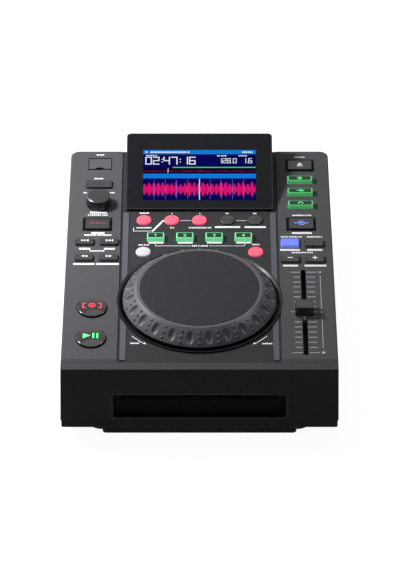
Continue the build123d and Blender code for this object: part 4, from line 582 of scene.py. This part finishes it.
for u in (-89.8, -86.0):
    reverse.triangle(u, REVERSE_V, 3.4, 4.0, 180)
reverse.box(-80.9, REVERSE_V, 5.6, 1.2).make("reverse_mark", DIM_RED, "reverse")
MODE_U, MODE_V = 84.7, 100.0
vinyl = Artwork(PANEL, POCKET_TOP + PRINT_PROUD)
vinyl.arc(MODE_U, MODE_V, 2.5, 0.7, 0, 360).disc(MODE_U, MODE_V, 1.0)
for side in (-1, 1):
    vinyl.box(MODE_U + side * 4.7, MODE_V, 2.6, 0.8)
vinyl.make("jog_mode_mark", BLUE_GLOW, "jog_mode")

# the big buttons' marks, which follow their domes
BIG_TOP = 2.7
BIG_DOME = 54.2  # radius of their sphere
BIG_U = -86.6
CUE_V, PLAY_V = -11.0, -49.4
CUE_SIGN_V, PLAY_SIGN_V = -10.4, -48.8
MARK_PROUD = 0.14
MARK_SUNK = 0.1
BRACKET_U, BRACKET_ARM, BRACKET_HALF = 7.2, 1.9, 2.8
cue = Artwork(PANEL, BIG_TOP + MARK_PROUD, MARK_SUNK, (BIG_U, CUE_V, BIG_DOME))
cue.arc(BIG_U, CUE_SIGN_V, 2.4, 0.8, 0, 360).disc(BIG_U, CUE_SIGN_V, 1.0)
low_v, high_v = CUE_SIGN_V - BRACKET_HALF, CUE_SIGN_V + BRACKET_HALF
for side in (-1, 1):
    far_u, near_u = BIG_U + side * BRACKET_U, BIG_U + side * (BRACKET_U - BRACKET_ARM)
    cue.line([(near_u, high_v), (far_u, high_v), (far_u, low_v), (near_u, low_v)], 0.8)
cue.make("cue_mark", RED_GLOW, "cue")
play = Artwork(PANEL, BIG_TOP + MARK_PROUD, MARK_SUNK, (BIG_U, PLAY_V, BIG_DOME))
play.triangle(BIG_U - 3.4, PLAY_SIGN_V, 6.0, 6.4, 0)
for shift in (2.0, 5.2):
    play.box(BIG_U + shift, PLAY_SIGN_V, 1.5, 6.2)
play.make("play_pause_mark", GREEN_GLOW, "play_pause")

# the lit keys: the dark glass in their tops, and their signs as strokes from the middle of the cap
PAD_V = 81.9
SOURCE_U = 84.6
PAD_GLASS = (12.2, 6.0)
SOURCE_GLASS = (18.4, 5.2)
GLASS_CORNER = 0.5
GLASS_SHIFT = 0.1
SIGN_STROKE = 0.42
RING_STROKE = 0.45
DIN_RADIUS = 1.7
DIN_DROP = 0.5
DIGITS = {
    1: [[(-0.7, 0.8), (0.1, 1.5), (0.1, -1.5)]],
    2: [[(-0.9, 1.3), (0.7, 1.3), (0.9, 0.4), (-0.9, -1.3), (1.0, -1.3)]],
    3: [[(-0.9, 1.3), (0.8, 1.3), (0.0, 0.2), (0.9, -0.5), (0.5, -1.3), (-0.9, -1.3)]],
    4: [[(0.5, -1.5), (0.5, 1.5), (-1.0, -0.5), (1.1, -0.5)]],
}


def lit_key(body, u, v, size, height, strokes=(), rings=()):
    """Dark glass let into the top of a lit cap, and a glowing sign on it."""
    glass = Artwork(PANEL, height + PRINT_PROUD).rounded(u, v + GLASS_SHIFT, *size, GLASS_CORNER)
    glass.make(body + "_glass", DARK_INLAY, body)
    sign = Artwork(PANEL, height + 2 * PRINT_PROUD, 0)
    for points in strokes:
        sign.line([(u + a, v + b) for a, b in points], SIGN_STROKE)
    for a, b, radius in rings:
        sign.arc(u + a, v + b, radius, RING_STROKE, 0, 360)
    sign.make(body + "_sign", GREEN_GLOW, body)


for number in range(1, 5):
    lit_key(f"hot_cue_{number}", (number - 2.5) * PAD_PITCH, PAD_V, PAD_GLASS, LIT_TOP_LOWER, DIGITS[number])
lit_key("source_disc", SOURCE_U, 159.4, SOURCE_GLASS, LIT_TOP, (), [(0, 0, 1.7), (0, 0, 0.5)])
lit_key("source_usb", SOURCE_U, 142.1, SOURCE_GLASS, LIT_TOP, [
    [(-3.0, 0), (2.8, 0)], [(-1.4, 0), (-0.2, 1.3), (1.2, 1.3)], [(-0.4, 0), (0.6, -1.3), (1.8, -1.3)],
    [(2.2, 0.7), (3.2, 0), (2.2, -0.7)],
])
lit_key("source_midi", SOURCE_U, 124.8, SOURCE_GLASS, LIT_TOP, (), [
    (DIN_RADIUS * math.cos(math.radians(a)), DIN_RADIUS * math.sin(math.radians(a)) - DIN_DROP, 0.3)
    for a in (0, 45, 90, 135, 180)
])

# ---------------------------------------------------------------- the screen's picture
SCREEN_WIDTH = 95.0
SCREEN_LENGTH = 53.9
SCREEN_CENTRE = 36.4
SCREEN_BOTTOM = SCREEN_CENTRE - SCREEN_LENGTH / 2
SCREEN_LEFT = -SCREEN_WIDTH / 2
LAYER = 0.04  # from one layer of the picture to the next
GLASS_TOP = -0.1  # the window's face, a little below the display's own
UNLIT_SHARE = 0.15
SCREEN_GLOW = 0.95


def screen_color(name, red, green, blue):
    """A glowing colour over a much darker one."""
    dark = srgb(*(UNLIT_SHARE * level for level in (red, green, blue)))
    shader = Shader(name, dark, 0.5, 0.0).glow(srgb(red, green, blue), SCREEN_GLOW)
    return shader.mottle(0.4, 0.15).material


NAVY = screen_color("screen_navy", 8, 6, 84)
SKY = screen_color("screen_sky", 16, 120, 214)
SNOW = screen_color("screen_snow", 236, 238, 246)
LEAF = screen_color("screen_leaf", 84, 214, 96)
MAGENTA = screen_color("screen_magenta", 214, 20, 108)
BLACK = screen_color("screen_black", 4, 6, 20)
VIOLET = screen_color("screen_violet", 96, 96, 220)


SCREEN = Plane(DISPLAY.at(SCREEN_LEFT, SCREEN_BOTTOM), DISPLAY.along, DISPLAY.normal)


def layer(number):
    """Artwork on the screen, whose coordinates start at the picture's lower left corner."""
    return Artwork(SCREEN, GLASS_TOP + LAYER * number, 0.0)


SEGMENTS = {
    "0": "abcdef", "1": "bc", "2": "abged", "3": "abgcd", "4": "fgbc",
    "5": "afgcd", "6": "afgedc", "7": "abc", "8": "abcdefg", "9": "gfabcd",
}
COLON_ROOM, POINT_ROOM, FIGURE_GAP = 2.6, 2.2, 1.9  # counted in strokes


def number_sign(art, text, left, bottom, height, stroke, breadth):
    """Seven-segment figures; a colon or a point takes less room."""
    width = height * breadth
    for sign in text:
        if sign == ":":
            art.box(left + stroke, bottom + height * 0.3, stroke, stroke)
            art.box(left + stroke, bottom + height * 0.7, stroke, stroke)
            left += stroke * COLON_ROOM
        elif sign == ".":
            art.box(left + stroke * 0.8, bottom + stroke / 2, stroke, stroke)
            left += stroke * POINT_ROOM
        else:
            right, top, middle_v = left + width, bottom + height, bottom + height / 2
            lines = {
                "a": [(left, top), (right, top)], "b": [(right, top), (right, middle_v)],
                "c": [(right, middle_v), (right, bottom)], "d": [(left, bottom), (right, bottom)],
                "e": [(left, bottom), (left, middle_v)], "f": [(left, middle_v), (left, top)],
                "g": [(left, middle_v), (right, middle_v)],
            }
            for segment in SEGMENTS[sign]:
                art.line(lines[segment], stroke)
            left += width + stroke * FIGURE_GAP


OVERVIEW_V = 31.6
ground = layer(1).box(SCREEN_WIDTH / 2, SCREEN_LENGTH / 2, SCREEN_WIDTH, SCREEN_LENGTH)
ground.make("screen_ground", NAVY, "chassis")
strip = layer(2).box(SCREEN_WIDTH / 2, OVERVIEW_V, SCREEN_WIDTH, 4.8)
strip.make("screen_overview_ground", BLACK, "chassis")
bars = layer(2).box(SCREEN_WIDTH / 2, 51.6, SCREEN_WIDTH, 4.6).box(SCREEN_WIDTH / 2, 25.8, SCREEN_WIDTH, 5.0)
bars.make("screen_bars", SKY, "chassis")

# the wave swells and falls in bursts of different height
WAVE_MIDDLE = 11.6
WAVE_REACH = 9.4
WAVE_START = 0.2
WAVE_POINTS = 381
WAVE_STEP = 0.2485
BEAT = 9.4
BEATS = 9
BURSTS_PER_BEAT = 2.5
LEAST_SWELL = 0.16
BURST_LEVELS = (0.62, 1.0)
JITTER = (0.66, 1.0)
OVERVIEW_BARS = 95
wave = layer(2)
draw = random.Random(7)
upper, lower = [], []
level = 1.0
last_burst = -1
for step in range(WAVE_POINTS):
    x = WAVE_START + step * WAVE_STEP
    burst = x * BURSTS_PER_BEAT / BEAT
    if int(burst) != last_burst:
        last_burst = int(burst)
        level = draw.uniform(*BURST_LEVELS)
    swell = LEAST_SWELL + (1 - LEAST_SWELL) * level * math.sin(math.pi * (burst % 1.0) ** 0.7)
    reach = WAVE_REACH * swell * draw.uniform(*JITTER)
    upper.append((x, WAVE_MIDDLE + reach))
    lower.append((x, WAVE_MIDDLE - reach))
for i in range(len(upper) - 1):
    wave.outline([lower[i], lower[i + 1], upper[i + 1], upper[i]])
for step in range(OVERVIEW_BARS):
    x = WAVE_START + step
    reach = 0.3 + 0.8 * abs(math.sin(x * 0.21)) * draw.uniform(0.6, 1.0)
    wave.box(x + 0.3, 31.2, 0.7, 2 * reach)
wave.make("screen_wave", MAGENTA, "chassis")
beats = layer(3)
for number in range(1, BEATS + 1):
    beats.box(number * BEAT, WAVE_MIDDLE, 0.35, 21.0)
beats.make("screen_beats", VIOLET, "chassis")
signs = layer(4)
number_sign(signs, "02:47:16", 2.2, 38.6, 7.4, 0.95, 0.62)
for text, left in (("128.0", 63.5), ("1.6", 84.0)):
    number_sign(signs, text, left, 39.9, 4.6, 0.6, 0.56)
signs.triangle(2.9, 51.6, 2.2, 2.4, 0)
for u, v, width, height, seed in (
    (23.0, 51.5, 34.0, 1.5, 81), (88.0, 51.5, 9.0, 1.5, 82), (7.0, 47.8, 9.0, 1.1, 83),
    (66.8, 47.5, 9.0, 1.1, 84), (84.0, 47.5, 7.0, 1.1, 85),
):
    signs.caption(u, v, width, height, seed)
signs.box(SCREEN_WIDTH / 2, WAVE_MIDDLE, 0.6, 22.4).box(21.0, OVERVIEW_V, 0.5, 4.6)
signs.make("screen_signs", SNOW, "chassis")
layer(4).box(60.0, 35.0, 70.0, 0.9).make("screen_progress", LEAF, "chassis")

# ---------------------------------------------------------------- floor, lights and camera
FLOOR_HALF = 30.0
FLOOR_GAP = 0.2 * MM
FLOOR_GLOW = 0.95
FLOOR_GREY = 0.3  # takes the shadows that the camera sees
FLOOR_DIM = 0.12  # throws only a little light back up
floor_mesh = bpy.data.meshes.new("floor")
floor_mesh.from_pydata([(x, y, 0) for x, y in ((-1, -1), (1, -1), (1, 1), (-1, 1))], [], [(0, 1, 2, 3)])
floor = bpy.data.objects.new("floor", floor_mesh)
floor.scale = (FLOOR_HALF, FLOOR_HALF, 1)
floor.location = (0, 0, -FLOOR_GAP)
bpy.context.scene.collection.objects.link(floor)


def seen_directly(tree):
    """1 for camera, glossy and transmission rays, 0 for the rest."""
    path = tree.nodes.new("ShaderNodeLightPath")
    total = path.outputs["Is Camera Ray"]
    for name in ("Is Glossy Ray", "Is Transmission Ray"):
        pick = tree.nodes.new("ShaderNodeMath")
        pick.operation = "MAXIMUM"
        tree.links.new(total, pick.inputs[0])
        tree.links.new(path.outputs[name], pick.inputs[1])
        total = pick.outputs["Value"]
    return total


def choose(tree, otherwise, seen, output):
    """The tree's surface: one look where it is seen or mirrored, the other where it only lights."""
    either = tree.nodes.new("ShaderNodeMixShader")
    out = tree.nodes.new(output)
    tree.links.new(seen_directly(tree), either.inputs[0])
    tree.links.new(otherwise.outputs[0], either.inputs[1])
    tree.links.new(seen.outputs[0], either.inputs[2])
    tree.links.new(either.outputs[0], out.inputs["Surface"])


def diffuse(tree, grey):
    node = tree.nodes.new("ShaderNodeBsdfDiffuse")
    node.inputs["Color"].default_value = (grey, grey, grey, 1)
    return node


def background(tree, strength):
    node = tree.nodes.new("ShaderNodeBackground")
    node.inputs["Strength"].default_value = strength
    node.inputs["Color"].default_value = (1, 1, 1, 1)
    return node


paper = bpy.data.materials.new("paper")
paper.use_nodes = True
tree = paper.node_tree
tree.nodes.clear()
glow = tree.nodes.new("ShaderNodeEmission")
glow.inputs["Strength"].default_value = FLOOR_GLOW
both = tree.nodes.new("ShaderNodeAddShader")
tree.links.new(diffuse(tree, FLOOR_GREY).outputs[0], both.inputs[0])
tree.links.new(glow.outputs[0], both.inputs[1])
choose(tree, diffuse(tree, FLOOR_DIM), both, "ShaderNodeOutputMaterial")
floor_mesh.materials.append(paper)

AMBIENT = 0.06
world = bpy.data.worlds.new("studio")
bpy.context.scene.world = world
world.use_nodes = True
world.node_tree.nodes.clear()
soft, white = background(world.node_tree, AMBIENT), background(world.node_tree, 1.0)
choose(world.node_tree, soft, white, "ShaderNodeOutputWorld")

LAMP_AIM = Vector((0, 0, 0.06))


def lamp(name, place, width, height, power, reflected_only=False):
    """A soft lamp that points at LAMP_AIM; reflected_only adds no diffuse light."""
    data = bpy.data.lights.new(name, "AREA")
    data.shape = "ELLIPSE"
    data.size, data.size_y, data.energy = width, height, power
    item = bpy.data.objects.new(name, data)
    item.location = place
    item.rotation_mode = "QUATERNION"
    item.rotation_quaternion = (LAMP_AIM - Vector(place)).to_track_quat("-Z", "Y")
    item.visible_diffuse = not reflected_only
    bpy.context.scene.collection.objects.link(item)


lamp("key", (-0.37, 0.09, 0.47), 0.13, 0.13, 4.1)
lamp("side", (-0.80, 0.45, 0.42), 0.8, 0.25, 2.0)
lamp("top", (0.0, 0.25, 1.4), 1.2, 1.2, 3.15)
lamp("glint", (0.40, -0.05, 0.50), 0.1, 0.1, 1.4, reflected_only=True)

# the camera stands where the photograph's did, on the object's middle plane
PHOTO_HEIGHT = 570
PHOTO_CENTRE = (200.0, 285.0)
FOCAL_PIXELS = 3402.0
SENSOR = 36.0
DISTANCE = 2.743
ELEVATION = math.radians(35.1)
WHEEL_HEIGHT = 12.6
WHEEL_TOP = PANEL.at(0, 0, WHEEL_HEIGHT)
WHEEL_TOP_PIXEL = (199.5, 287.5)
ahead = Vector((0, math.cos(ELEVATION), -math.sin(ELEVATION)))
above = Vector((0, math.sin(ELEVATION), math.cos(ELEVATION)))
shift_right = (WHEEL_TOP_PIXEL[0] - PHOTO_CENTRE[0]) / FOCAL_PIXELS
shift_down = (WHEEL_TOP_PIXEL[1] - PHOTO_CENTRE[1]) / FOCAL_PIXELS
camera_data = bpy.data.cameras.new("camera")
camera_data.sensor_width = SENSOR
camera_data.lens = FOCAL_PIXELS / PHOTO_HEIGHT * SENSOR
camera_data.clip_start = 0.1
camera = bpy.data.objects.new("camera", camera_data)
camera.location = WHEEL_TOP - DISTANCE * (ahead + shift_right * RIGHT - shift_down * above)
camera.rotation_mode = "QUATERNION"
camera.rotation_quaternion = ahead.to_track_quat("-Z", "Y")
bpy.context.scene.collection.objects.link(camera)
bpy.context.scene.camera = camera
bpy.context.scene.view_settings.view_transform = "Standard"
